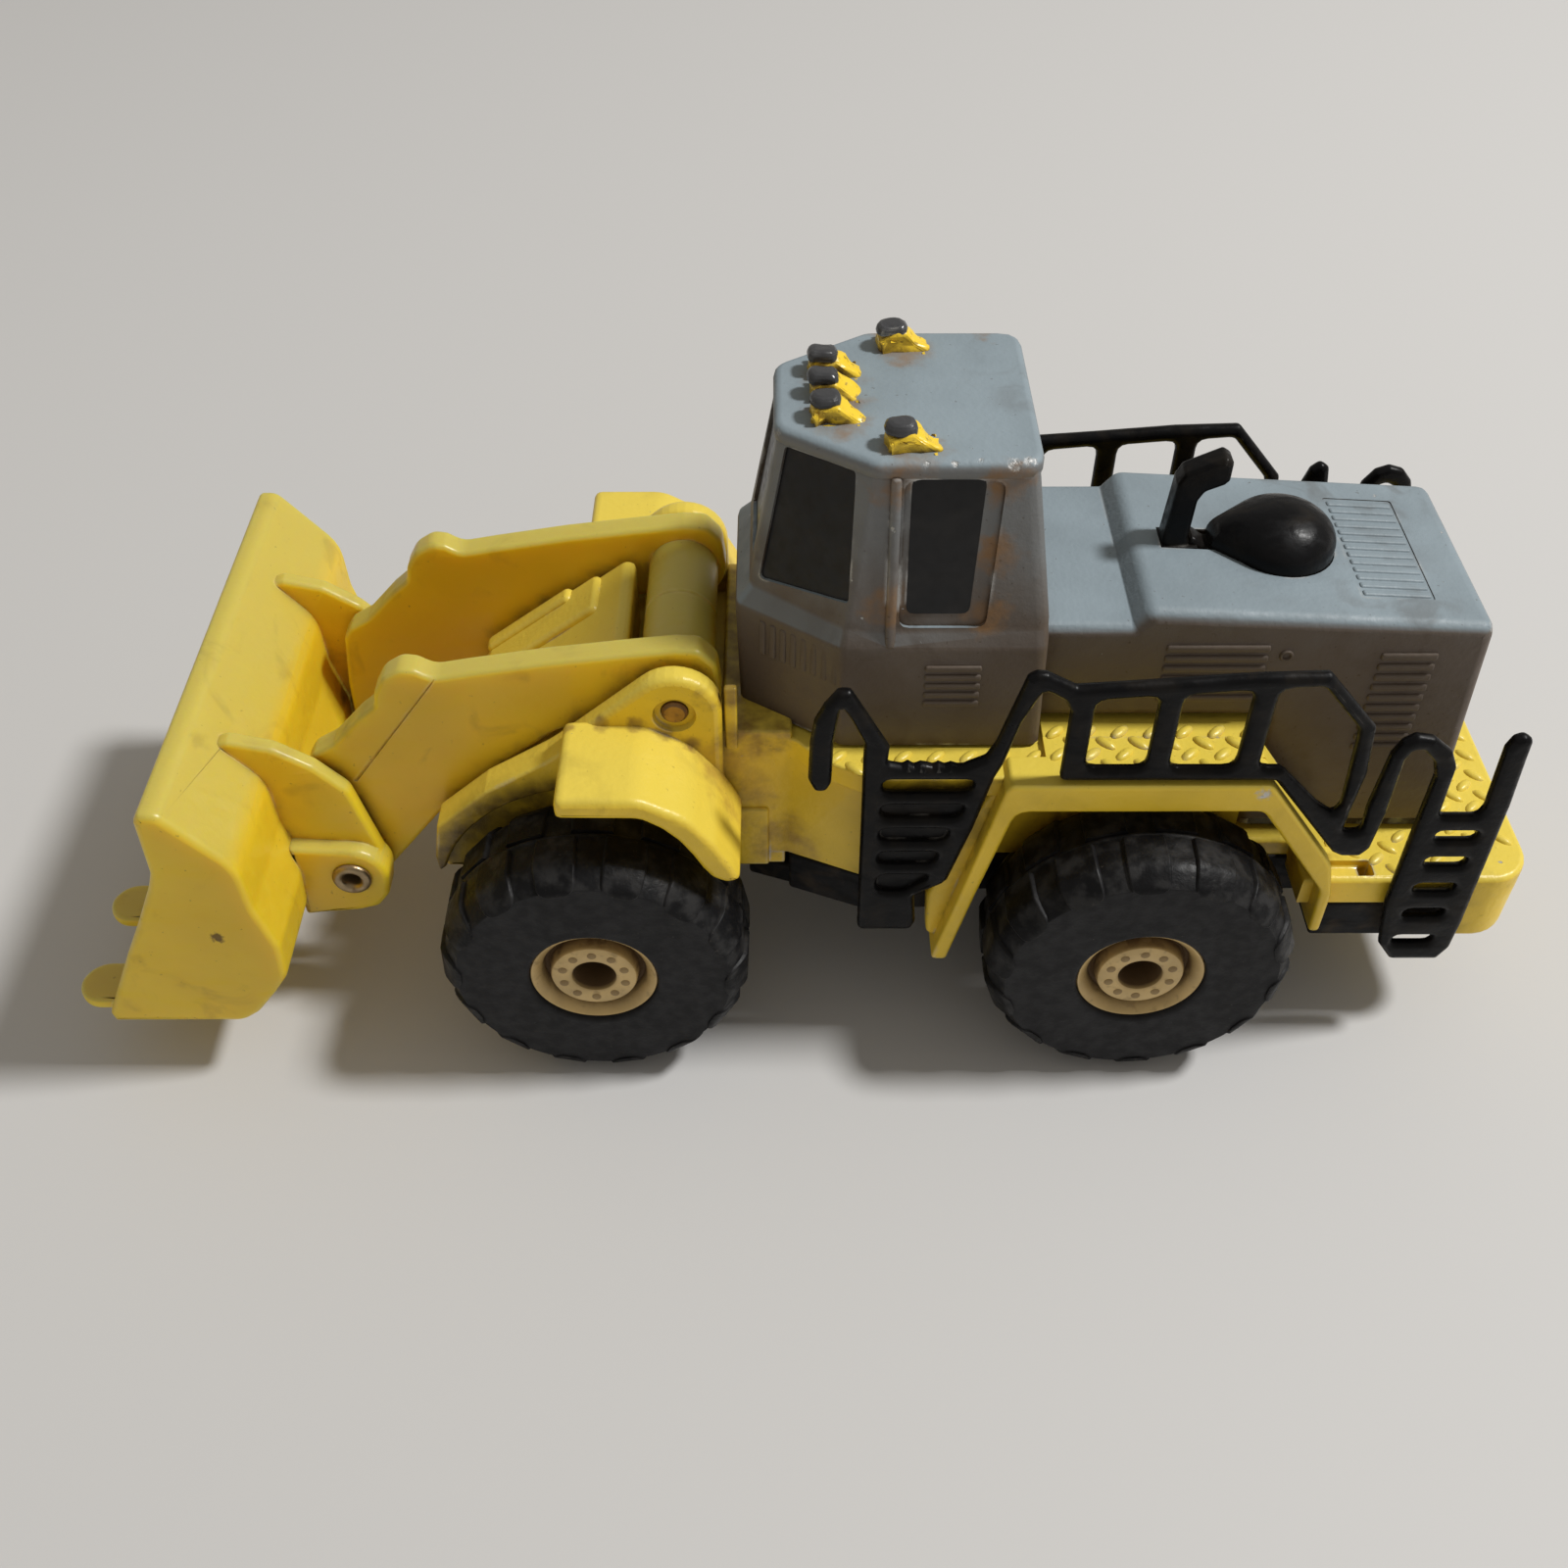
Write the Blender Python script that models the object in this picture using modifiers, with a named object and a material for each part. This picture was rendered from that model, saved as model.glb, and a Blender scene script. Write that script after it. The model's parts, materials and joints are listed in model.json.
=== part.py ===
"""Toy front loader: a die-cast and plastic model built as an assembly of separate pieces.

Outlines are in millimetres: X from the front axle towards the rear, Y from the centre plane,
Z from the ground. Every mesh is shifted by FRONT_AXLE_X, so the finished toy is centred on the
world origin with its front facing -X and its left side facing -Y.
"""

import math

import bmesh
import bpy
from mathutils import Matrix

MM = 0.001

# Overall layout
WHEELBASE = 50.0
FRONT_REACH = 49.6
REAR_REACH = 36.8
FRONT_AXLE_X = (FRONT_REACH - WHEELBASE - REAR_REACH) / 2
TAIL_X = WHEELBASE + REAR_REACH

# Clearances: between fixed pieces, round running shafts, between sliding faces, frame to tyres
FIT = 0.3
SHAFT_FIT = 0.07
SIDE_PLAY = 0.4
WHEEL_GAP = 1.1

# Wheels
TYRE_R = 14.2
TYRE_OUT = 24.6
TYRE_WIDTH = 11.1
TYRE_IN = TYRE_OUT - TYRE_WIDTH
SIDEWALL_R = 12.2
SHOULDER_R = 13.75
SHOULDER_DROP = 0.7
TREAD_DROP = 1.8
LUGS = 22
LUG_DEPTH = 0.5
HUB_R = 5.85
HUB_FIT = 0.15
HUB_FACE = TYRE_OUT - 0.3
NAVE_R = 3.95
NAVE_HOLE_R = 1.95
HUB_GROOVE = 2.0
AXLE_R = 1.0
AXLE_Z = TYRE_R
AXLE_HALF = TYRE_OUT - 4.0
ROUND = 24

# Base plate, under the chassis
BASE_Z = 11.4
BASE_FLOOR = 1.8
BASE_STEP_Z = 13.5
BASE_STEP = 1.9
BASE_FRONT_X = -12.4
BASE_TAIL_X = WHEELBASE + 29.8
REAR_BAY_X = WHEELBASE - 17.0
REAR_STEP_X = WHEELBASE + 17.6
FRAME_HALF = TYRE_IN - WHEEL_GAP
BASE_CAVITY_HALF = FRAME_HALF - 2.3
BASE_FRONT_HALF = FRAME_HALF - 0.3

# Chassis
CHASSIS_FRONT_Z = 16.7
CHASSIS_MID_Z = 18.3
NECK_HALF = FRAME_HALF - 0.2
MID_HALF = FRAME_HALF + 2.8
MID_DECK_Z = 33.2
DECK_HALF = MID_HALF + 2.0
FENDER_DECK_Z = 33.8
FENDER_EDGE = 3.2
REAR_FENDER_HALF = DECK_HALF + 1.8
REAR_DECK_Z = 19.9
REAR_DECK_EDGE = 3.5
BUMPER_X = WHEELBASE + 30.4
BUMPER_Z = 11.8
BUMPER_CORNER = 4.0
WALL = 1.4

# Front of the chassis: the ears that carry the lift arm, the fenders and the centre box
ARM_PIVOT = (7.9, 36.8)
EAR_R = 4.1
EAR_OUT = TYRE_IN - FIT
EAR_THICK = 2.3
EAR_IN = EAR_OUT - EAR_THICK
EAR_SLOPE = 132.0
FRONT_FENDER_HALF = TYRE_OUT - 2.1
ARCH_HALF = TYRE_IN + 2.3
ARCH_R = 15.0
PIN_R = 1.15
PIN_RECESS_R = 2.1
PIN_RECESS = 0.6

# Lift arm
ARM_THICK = 2.6
ARM_PLAY = 0.6
ARM_OUT = EAR_IN - ARM_PLAY
ARM_IN = ARM_OUT - ARM_THICK
CENTRE_BOX_HALF = ARM_IN - ARM_PLAY - 0.1
ARM_END_R = 4.8
ARM_TUBE_R = 3.3
ARM_NOSE_R = 3.7

# Bucket
BUCKET_PIVOT = (-23.4, 16.9)
BUCKET_HALF = 23.4
BUCKET_END = 1.5
TOOTH_PITCH = 10.0
TOOTH_WIDTH = 5.5
BUCKET_Z = 6.9
TOOTH_THICK = 1.6
TOOTH_LIFT = 0.5
RIB_IN = ARM_OUT + SIDE_PLAY
RIB_THICK = 1.7
BOSS_OUT = RIB_IN + 3.3
BOSS_R = 3.4
RIVET_R = 1.3
RIVET_HEAD_R = 1.85
RIVET_HEAD = 0.5
RIVET_HOLE_R = 0.75

# Cab and hood, one shell: (front x, front half width, corner x, side half width, rear x)
CAB_Z = MID_DECK_Z + FIT
CAB_FOOT = (13.5, 7.6, 22.4, 13.4, 39.8)
BELT_Z = 44.3
CAB_BELT = (13.2, 6.9, 22.2, 13.1, 39.5)
SILL_Z = 45.7
CAB_SILL = (14.5, 6.2, 22.5, 12.4, 39.4)
ROOF_Z = 59.2
CAB_ROOF = (16.8, 4.7, 24.5, 9.9, 37.5)
ROOF_EDGE = 0.3
ROOF_TOP = 60.4
LAMP_TOP = 62.8
LAMP_WIDTH = 2.9
LAMP_PITCH = 3.5
LAMP_TRIO_X = 19.5
LAMP_SINGLE_X = 25.4
LAMP_SINGLE_Y = 7.6
LAMP_LENGTH = 4.4
HOOD_HALF = FRAME_HALF - 1.7
HOOD_LOW_Z = 44.5
HOOD_STEP_X = WHEELBASE - 2.7
HOOD_TOP_Z = 46.1
HOOD_TAIL_Z = 44.4
HOOD_TAIL_X = WHEELBASE + 27.6
HOOD_FOOT_X = WHEELBASE + 29.0
SKIRT_X = WHEELBASE + 10.0
INSERT_WALL = 1.3

# Exhaust stack and air-filter dome, one piece in a keyhole in the hood
DOME_X = WHEELBASE + 11.0
DOME_R = 4.9
DOME_RISE = 3.9
KEYHOLE_X = WHEELBASE + 0.4
KEYHOLE_HALF = 1.9
STACK_HALF = 1.3
FLANGE = 1.2

# Railings, posts measured from the rear axle
RAIL_THICK = 1.3
RAIL_IN = DECK_HALF + FIT
RAIL_OUT = RAIL_IN + RAIL_THICK
RAIL_FOOT_Z = FENDER_DECK_Z + FIT
STUD_R = 0.55
STUD_Z = FENDER_DECK_Z - 2.2
RAIL_POSTS = (-8.2, -1.1, 6.5)
RAIL_BAR = 1.6
LADDER_SLOT = 1.7

# Screws that hold the base plate on
SCREW_X = (6.5, WHEELBASE + 21.0)
SCREW_R = 0.75
SCREW_HEAD_R = 1.8
SCREW_HEAD = 0.7
SCREW_SINK = 0.15
SCREW_TIP_Z = (24.0, 29.0)
BOSS_POST_R = 2.4


# Scene and collections

for old in list(bpy.data.objects):
    bpy.data.objects.remove(old, do_unlink=True)
PARTS = bpy.data.collections.new("toy_front_loader")
CUTTERS = bpy.data.collections.new("cutters")
bpy.context.scene.collection.children.link(PARTS)
bpy.context.scene.collection.children.link(CUTTERS)


# Helpers

def tidy(mesh):
    """Welds a mesh, joins its flat triangles and turns its faces outward."""
    work = bmesh.new()
    work.from_mesh(mesh)
    bmesh.ops.remove_doubles(work, verts=work.verts, dist=0.001 * MM)
    bmesh.ops.dissolve_limit(
        work, angle_limit=0.001, verts=work.verts, edges=work.edges, use_dissolve_boundaries=False
    )
    bmesh.ops.recalc_face_normals(work, faces=work.faces)
    work.to_mesh(mesh)
    work.free()
    return mesh


def helper(name, mesh):
    """A shape that is joined to a part or cut from it."""
    obj = bpy.data.objects.new(name, mesh)
    CUTTERS.objects.link(obj)
    obj.hide_render = True
    obj.display_type = "WIRE"
    return obj


def shift(x, y, z):
    return Matrix.Translation(((FRONT_AXLE_X + x) * MM, y * MM, z * MM))


def extruded(loops, depth):
    """A mesh of closed outlines in XY, filled and extruded by depth about Z = 0."""
    curve = bpy.data.curves.new("outline", "CURVE")
    curve.dimensions = "2D"
    curve.fill_mode = "BOTH"
    curve.extrude = depth / 2 * MM
    for loop in loops:
        spline = curve.splines.new("POLY")
        spline.points.add(len(loop) - 1)
        spline.use_cyclic_u = True
        for point, (x, y) in zip(spline.points, loop):
            point.co = (x * MM, y * MM, 0, 1)
    holder = bpy.data.objects.new("outline", curve)
    mesh = bpy.data.meshes.new_from_object(holder)
    bpy.data.objects.remove(holder)
    return tidy(mesh)


def plate(name, outline, y_from, y_to, holes=()):
    """An XZ outline standing upright between two Y planes."""
    mesh = extruded([outline, *holes], abs(y_to - y_from))
    mesh.transform(shift(0, (y_from + y_to) / 2, 0) @ Matrix.Rotation(math.pi / 2, 4, "X"))
    return helper(name, mesh)


def slab(name, outline, z_from, z_to):
    """An XY outline lying between two heights."""
    mesh = extruded([outline], z_to - z_from)
    mesh.transform(shift(0, 0, (z_from + z_to) / 2))
    return helper(name, mesh)


def box(name, x, y, z):
    """A box between pairs of planes."""
    mesh = bpy.data.meshes.new(name)
    work = bmesh.new()
    bmesh.ops.create_cube(work, size=1)
    work.to_mesh(mesh)
    work.free()
    size = [(high - low) * MM for low, high in (x, y, z)]
    middle = [(low + high) / 2 for low, high in (x, y, z)]
    mesh.transform(shift(*middle) @ Matrix.Diagonal((*size, 1)))
    return helper(name, mesh)


def rod(name, radius, x, y, z, axis, segments=ROUND):
    """A cylinder: the coordinate along its axis is a pair, the other two are its centre."""
    along = {"Y": y, "Z": z}[axis]
    length = along[1] - along[0]
    mesh = bpy.data.meshes.new(name)
    work = bmesh.new()
    bmesh.ops.create_cone(
        work, cap_ends=True, segments=segments, radius1=radius * MM, radius2=radius * MM,
        depth=length * MM,
    )
    work.to_mesh(mesh)
    work.free()
    middle = sum(along) / 2
    if axis == "Y":
        mesh.transform(shift(x, middle, z) @ Matrix.Rotation(math.pi / 2, 4, "X"))
    else:
        mesh.transform(shift(x, y, middle))
    return helper(name, mesh)


def turned(name, profile, steps, closed=True):
    """A (radius, height) profile turned about Z."""
    points = [(radius * MM, 0, height * MM) for radius, height in profile]
    edges = [(i, i + 1) for i in range(len(points) - 1)]
    if closed:
        edges.append((len(points) - 1, 0))
    mesh = bpy.data.meshes.new(name)
    mesh.from_pydata(points, edges, [])
    holder = bpy.data.objects.new(name, mesh)
    CUTTERS.objects.link(holder)
    screw = holder.modifiers.new("Turn", "SCREW")
    screw.axis = "Z"
    screw.steps = steps
    screw.render_steps = steps
    screw.use_merge_vertices = True
    screw.merge_threshold = 0.001 * MM
    graph = bpy.context.evaluated_depsgraph_get()
    solid = bpy.data.meshes.new_from_object(holder.evaluated_get(graph))
    bpy.data.objects.remove(holder)
    return solid


def turned_part(name, profile, steps, centre, side=0, closed=True):
    """A turned shape placed on its centre: upright, or lying along Y to one side."""
    mesh = turned(name, profile, steps, closed)
    lay = Matrix.Identity(4)
    if side:
        lay = Matrix.Rotation(-side * math.pi / 2, 4, "X")
    mesh.transform(shift(*centre) @ lay)
    return helper(name, tidy(mesh))


def loft(name, sections):
    """A closed skin through level outlines with equal numbers of points: (height, outline)."""
    count = len(sections[0][1])
    points = [(x * MM, y * MM, z * MM) for z, outline in sections for x, y in outline]
    faces = [list(range(count)), list(range(len(points) - count, len(points)))]
    for level in range(len(sections) - 1):
        low = level * count
        for i in range(count):
            j = (i + 1) % count
            faces.append((low + i, low + j, low + count + j, low + count + i))
    mesh = bpy.data.meshes.new(name)
    mesh.from_pydata(points, [], faces)
    mesh.transform(shift(0, 0, 0))
    return helper(name, tidy(mesh))


def arc(centre, radius, start, end, count):
    """Points on an arc, angles in degrees."""
    turn = [math.radians(start + (end - start) * i / (count - 1)) for i in range(count)]
    return [(centre[0] + radius * math.cos(a), centre[1] + radius * math.sin(a)) for a in turn]


def at(start, outline):
    """An outline moved along X to start."""
    return [(start + x, other) for x, other in outline]


def both(points):
    """The outline whose positive-Y half is given from front to rear."""
    return points + [(x, -y) for x, y in reversed(points)]


def inset(outline, depth):
    """A convex outline moved inward by depth."""
    area = sum(a[0] * b[1] - b[0] * a[1] for a, b in zip(outline, outline[1:] + outline[:1]))
    turn = 1 if area > 0 else -1
    lines = []
    for a, b in zip(outline, outline[1:] + outline[:1]):
        length = math.dist(a, b)
        normal = (-turn * (b[1] - a[1]) / length, turn * (b[0] - a[0]) / length)
        lines.append((normal, normal[0] * a[0] + normal[1] * a[1] + depth))
    moved = []
    for (n, c), (m, d) in zip(lines[-1:] + lines[:-1], lines):
        det = n[0] * m[1] - n[1] * m[0]
        moved.append(((c * m[1] - d * n[1]) / det, (n[0] * d - m[0] * c) / det))
    return moved


def boolean(part, operation, shapes):
    for shape in shapes:
        modifier = part.modifiers.new(shape.name, "BOOLEAN")
        modifier.operation = operation
        modifier.solver = "EXACT"
        modifier.object = shape


def join(part, *shapes):
    boolean(part, "UNION", shapes)


def cut(part, *shapes):
    boolean(part, "DIFFERENCE", shapes)


def part(name, shape, colour, roughness, metallic=0.0):
    """Takes a helper shape into the toy as a named piece with a material of its own."""
    CUTTERS.objects.unlink(shape)
    PARTS.objects.link(shape)
    shape.name = name
    shape.hide_render = False
    shape.display_type = "TEXTURED"
    material = bpy.data.materials.new(name)
    material.use_nodes = True
    shader = material.node_tree.nodes["Principled BSDF"]
    shader.inputs["Base Color"].default_value = (*colour, 1)
    shader.inputs["Roughness"].default_value = roughness
    shader.inputs["Metallic"].default_value = metallic
    shape.data.materials.clear()
    shape.data.materials.append(material)
    return shape


def axis_empty(name, x, z, children, parent=None):
    """An empty on a joint axis that carries the pieces turning about it."""
    empty = bpy.data.objects.new(name, None)
    PARTS.objects.link(empty)
    place = shift(x, 0, z)
    if parent:
        empty.parent = parent
        empty.matrix_parent_inverse = parent.matrix_basis.inverted()
    empty.matrix_basis = place
    for child in children:
        child.parent = empty
        child.matrix_parent_inverse = place.inverted()
    return empty


YELLOW = (0.62, 0.42, 0.07)
BLACK = (0.012, 0.012, 0.013)
SIDES = {"left": -1, "right": 1}


# Base plate

def plan(inward, z_from, z_to, name):
    """The base plate's outline, moved inward."""
    outline = both([
        (BASE_FRONT_X + inward, BASE_FRONT_HALF - inward),
        (17.8, BASE_FRONT_HALF - inward),
        (24.6 - inward * 0.3, MID_HALF - 0.5 - inward),
        (REAR_BAY_X - inward, MID_HALF - 0.5 - inward),
        (REAR_BAY_X - inward, FRAME_HALF - inward),
        (REAR_STEP_X + inward, FRAME_HALF - inward),
        (REAR_STEP_X + inward, DECK_HALF - 0.5 - inward),
        (BASE_TAIL_X - inward, DECK_HALF - 0.5 - inward),
    ])
    return slab(name, outline, z_from, z_to)


base = plan(BASE_STEP, BASE_Z, BASE_STEP_Z + 0.3, "base_step")
join(
    base,
    plan(0, BASE_STEP_Z, CHASSIS_FRONT_Z - FIT, "base_rim"),
    slab("base_mid", both([
        (18.4, BASE_FRONT_HALF), (24.7, MID_HALF - 0.6), (REAR_BAY_X - 0.1, MID_HALF - 0.6),
        (REAR_BAY_X - 0.1, FRAME_HALF - 0.1), (WHEELBASE + 7.8, FRAME_HALF - 0.1),
    ]), CHASSIS_FRONT_Z - 1.0, CHASSIS_MID_Z - FIT),
)
base_hollow = (BASE_Z + BASE_FLOOR, CHASSIS_MID_Z + 1)
cut(base, box("base_hollow", (BASE_FRONT_X + WALL, BASE_TAIL_X - WALL),
              (-BASE_CAVITY_HALF, BASE_CAVITY_HALF), base_hollow))
join(base, rod("base_post", BOSS_POST_R, SCREW_X[1], 0,
               (BASE_Z + 0.6, CHASSIS_FRONT_Z - FIT), "Z"))
for n, screw_x in enumerate(SCREW_X):
    sink_top = BASE_Z + SCREW_SINK + SCREW_HEAD + 0.05
    cut(
        base,
        rod(f"base_hole_{n}", SCREW_R + 0.15, screw_x, 0, (BASE_Z - 1, CHASSIS_MID_Z), "Z"),
        rod(f"base_sink_{n}", SCREW_HEAD_R + 0.15, screw_x, 0, (BASE_Z - 1, sink_top), "Z"),
    )
for n, axle_x in enumerate((0, WHEELBASE)):
    slot = AXLE_R + SHAFT_FIT
    cut(base, box(f"base_axle_{n}", (axle_x - slot, axle_x + slot), (-MID_HALF, MID_HALF),
                  (AXLE_Z - slot, CHASSIS_MID_Z + 1)))
part("base_plate", base, BLACK, 0.5)


# Chassis

ear_top = arc(ARM_PIVOT, EAR_R, EAR_SLOPE, 0, 9)
arch_edge = [(-15.2, 17.2), (-15.2, 19.5), (-14.3, 23.3), (-9.5, 27.4), (-3.6, 31.6)]
arch_under = arc((0, AXLE_Z), ARCH_R, 96, 174, 8)
chassis = slab("chassis_neck", both([
    (11.8, NECK_HALF), (17.7, NECK_HALF), (24.6, MID_HALF), (REAR_BAY_X + 0.4, MID_HALF),
    (REAR_BAY_X + 0.4, FRAME_HALF), (WHEELBASE + 9.4, FRAME_HALF),
]), CHASSIS_MID_Z, MID_DECK_Z)
join(
    chassis,
    box("neck_foot", (10.6, 17.5), (-NECK_HALF + 0.2, NECK_HALF - 0.2),
        (CHASSIS_FRONT_Z, CHASSIS_MID_Z + 1)),
    plate("arm_floor", [
        (-13.2, CHASSIS_FRONT_Z), (-13.2, 22.2), (-9.2, 26.1), (-2.6, 31.2), (12.6, 31.4),
        (12.6, CHASSIS_FRONT_Z),
    ], -EAR_IN - 0.5, EAR_IN + 0.5),
    plate("centre_box", [
        (-12.0, CHASSIS_FRONT_Z + 0.1), (-12.0, 27.0), (-11.4, 27.9), (2.7, 38.6), (3.5, 38.4),
        (3.5, CHASSIS_FRONT_Z + 0.1),
    ], -CENTRE_BOX_HALF, CENTRE_BOX_HALF),
    slab("mid_deck", both([
        (17.9, NECK_HALF - 0.3), (20.8, MID_HALF - 0.2), (24.8, DECK_HALF), (WHEELBASE - 9.0, DECK_HALF),
    ]), MID_DECK_Z - 2.4, MID_DECK_Z - 0.05),
    slab("rear_slab", both([
        (WHEELBASE + 8.2, FRAME_HALF - 0.3), (WHEELBASE + 15.2, FRAME_HALF - 0.3),
        (WHEELBASE + 15.2, DECK_HALF),
        (TAIL_X - BUMPER_CORNER, DECK_HALF),
        *arc((TAIL_X - BUMPER_CORNER, DECK_HALF - BUMPER_CORNER), BUMPER_CORNER, 70, 0, 4),
    ]), REAR_DECK_Z - REAR_DECK_EDGE, REAR_DECK_Z),
    slab("bumper", both([
        (BUMPER_X, DECK_HALF - 0.05), (TAIL_X - BUMPER_CORNER, DECK_HALF - 0.05),
        *arc((TAIL_X - BUMPER_CORNER, DECK_HALF - BUMPER_CORNER), BUMPER_CORNER - 0.05,
             70, 0, 4),
    ]), BUMPER_Z, REAR_DECK_Z - 1),
)
for name, s in SIDES.items():
    join(
        chassis,
        plate(f"ear_{name}", [
            (-15.0, CHASSIS_FRONT_Z + 0.2), *arch_edge[1:], (-2.7, 32.8), *ear_top, (12.0, 30.0),
            (12.0, CHASSIS_FRONT_Z + 0.2),
        ], s * EAR_IN, s * EAR_OUT),
        plate(f"arch_{name}", arch_edge + [(-1.6, 33.9)] + arch_under,
              s * (EAR_OUT - 1.0), s * ARCH_HALF),
        plate(f"front_fender_{name}", [
            (-1.9, 35.6), (5.4, 35.6), (9.4, 33.4), (11.6, 30.2), (13.0, 27.0), (13.6, 24.4),
            (12.4, 24.0), (11.4, 26.5), (9.8, 29.2), (7.9, 31.6), (4.6, 33.6), (-1.9, 33.6),
        ], s * (EAR_OUT - 0.9), s * FRONT_FENDER_HALF),
        box(f"neck_panel_{name}", (12.4, 16.0), sorted((s * (NECK_HALF - 1), s * (NECK_HALF + 0.4))),
            (CHASSIS_FRONT_Z + 0.3, 24.5)),
        plate(f"rear_fender_{name}", at(WHEELBASE, [
            (-18.7, 10.6), (-16.3, 21.1), (-13.7, 33.0), (-13.2, FENDER_DECK_Z),
            (9.1, FENDER_DECK_Z), (16.5, 23.6), (17.4, REAR_DECK_Z - 0.1), (17.4, 14.6),
            (16.4, 14.6), (16.2, 20.3), (8.9, FENDER_DECK_Z - FENDER_EDGE),
            (-12.5, FENDER_DECK_Z - FENDER_EDGE), (-15.1, 20.0), (-17.2, 10.6),
        ]), s * (MID_HALF - 0.2), s * REAR_FENDER_HALF),
        plate(f"fender_leg_{name}", at(WHEELBASE, [
            (-19.1, 12.0), (-19.4, 17.6), (-15.2, 30.2), (-13.2, 32.6), (-12.9, 30.9),
            (-15.6, 20.0), (-17.5, 12.0),
        ]), s * (MID_HALF - 0.1), s * (DECK_HALF - 0.1)),
        plate(f"rear_inner_{name}", [
            (CAB_FOOT[4] + FIT, FENDER_DECK_Z - FENDER_EDGE + 0.1),
            (CAB_FOOT[4] + FIT, FENDER_DECK_Z - 0.05),
            *at(WHEELBASE, [
                (9.1, FENDER_DECK_Z - 0.05), (16.4, 23.6), (17.3, REAR_DECK_Z - 0.2), (17.3, 17.4),
                (16.3, 17.4), (16.1, 20.3), (8.8, FENDER_DECK_Z - FENDER_EDGE + 0.1),
            ]),
        ], s * (FRAME_HALF + FIT), s * (MID_HALF + 0.1)),
    )
    for n, axle_x in enumerate((0, WHEELBASE)):
        join(chassis, box(
            f"axle_stop_{name}_{n}", (axle_x - 0.9, axle_x + 0.9),
            sorted((s * (BASE_CAVITY_HALF + 0.3), s * (FRAME_HALF - 0.3))),
            (AXLE_Z + AXLE_R + 0.15, CHASSIS_MID_Z + 1.5),
        ))
join(chassis, box("rear_deck", (CAB_FOOT[4] + FIT, WHEELBASE + 9.2),
                  (-FRAME_HALF - 0.6, FRAME_HALF + 0.6), (MID_DECK_Z - 2, FENDER_DECK_Z - 0.1)))
cut(
    chassis,
    plate("front_hollow", [
        (-11.4, 10.0), (-11.4, 21.2), (-8.3, 24.3), (-1.9, 29.3), (10.0, 29.5), (10.0, 10.0),
    ], -EAR_IN + 1.6, EAR_IN - 1.6),
    plate("box_hollow", [
        (-10.2, 10.0), (-10.2, 25.8), (1.8, 34.9), (1.8, 10.0),
    ], -CENTRE_BOX_HALF + 1.6, CENTRE_BOX_HALF - 1.6),
    box("rear_hollow", (13.6, WHEELBASE + 7.8), (-FRAME_HALF + 1.6, FRAME_HALF - 1.6), (10.0, 31.0)),
    box("mid_hollow", (24.0, REAR_BAY_X - 1.2), (-MID_HALF + 1.6, MID_HALF - 1.6), (10.0, 30.0)),
    box("cab_slot", (13.3, 15.2), (-4.3, 4.3), (MID_DECK_Z - 1.7, MID_DECK_Z + 1)),
    rod("pin_bore", PIN_R + SHAFT_FIT, ARM_PIVOT[0], (-EAR_OUT - 1, EAR_OUT + 1), ARM_PIVOT[1], "Y"),
    rod("rear_screw_hole", SCREW_R + 0.15, SCREW_X[1], 0, (10.0, REAR_DECK_Z + 1), "Z"),
)
for name, s in SIDES.items():
    cut(
        chassis,
        rod(f"pin_recess_{name}", PIN_RECESS_R, ARM_PIVOT[0],
            sorted((s * (EAR_OUT - PIN_RECESS), s * (EAR_OUT + 1))), ARM_PIVOT[1], "Y"),
        box(f"foot_recess_{name}", (WHEELBASE + 18.0, WHEELBASE + 21.0),
            sorted((s * (DECK_HALF - 1.8), s * (DECK_HALF - 0.3))), (REAR_DECK_Z - 1.4, REAR_DECK_Z + 1)),
    )
    for n in (0, 2):
        cut(chassis, rod(f"stud_hole_{name}_{n}", STUD_R + 0.1, WHEELBASE + RAIL_POSTS[n],
                         s * (RAIL_IN + RAIL_OUT) / 2, (STUD_Z - 0.3, FENDER_DECK_Z + 1), "Z", 12))
join(chassis, rod("front_post", BOSS_POST_R, SCREW_X[0], 0, (BASE_Z + BASE_FLOOR + FIT, 30.0), "Z"))
cut(chassis, rod("front_screw_hole", SCREW_R + 0.1, SCREW_X[0], 0, (10.0, SCREW_TIP_Z[0] + 1), "Z"))
part("chassis", chassis, YELLOW, 0.45, 0.2)

arm_pin = rod("pin", PIN_R, ARM_PIVOT[0], (-EAR_OUT + 0.15, EAR_OUT - 0.15), ARM_PIVOT[1], "Y")
part("arm_pin", arm_pin, (0.45, 0.42, 0.38), 0.4, 0.9)


# Cab and hood shell

def section(sizes, inward=0):
    front_x, front_half, corner_x, side_half, rear_x = sizes
    outline = both([(front_x, front_half), (corner_x, side_half), (rear_x, side_half)])
    return inset(outline, inward) if inward else outline


cab = loft("cab_skin", [
    (CAB_Z, section(CAB_FOOT)), (BELT_Z, section(CAB_BELT)), (SILL_Z, section(CAB_SILL)),
    (ROOF_Z, section(CAB_ROOF)),
])
join(
    cab,
    slab("roof", section(CAB_ROOF, -ROOF_EDGE), ROOF_Z - 0.5, ROOF_TOP),
    plate("hood", [
        (38.6, FENDER_DECK_Z + FIT), (38.6, HOOD_LOW_Z), (HOOD_STEP_X, HOOD_LOW_Z),
        (HOOD_STEP_X + 1.5, HOOD_TOP_Z), (HOOD_TAIL_X, HOOD_TAIL_Z),
        (HOOD_FOOT_X, REAR_DECK_Z + FIT), (SKIRT_X, REAR_DECK_Z + FIT),
        (SKIRT_X, FENDER_DECK_Z + FIT),
    ], -HOOD_HALF, HOOD_HALF),
)
lamps = [(LAMP_TRIO_X, n * LAMP_PITCH) for n in (-1, 0, 1)]
lamps += [(LAMP_SINGLE_X, s * LAMP_SINGLE_Y) for s in SIDES.values()]
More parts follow.
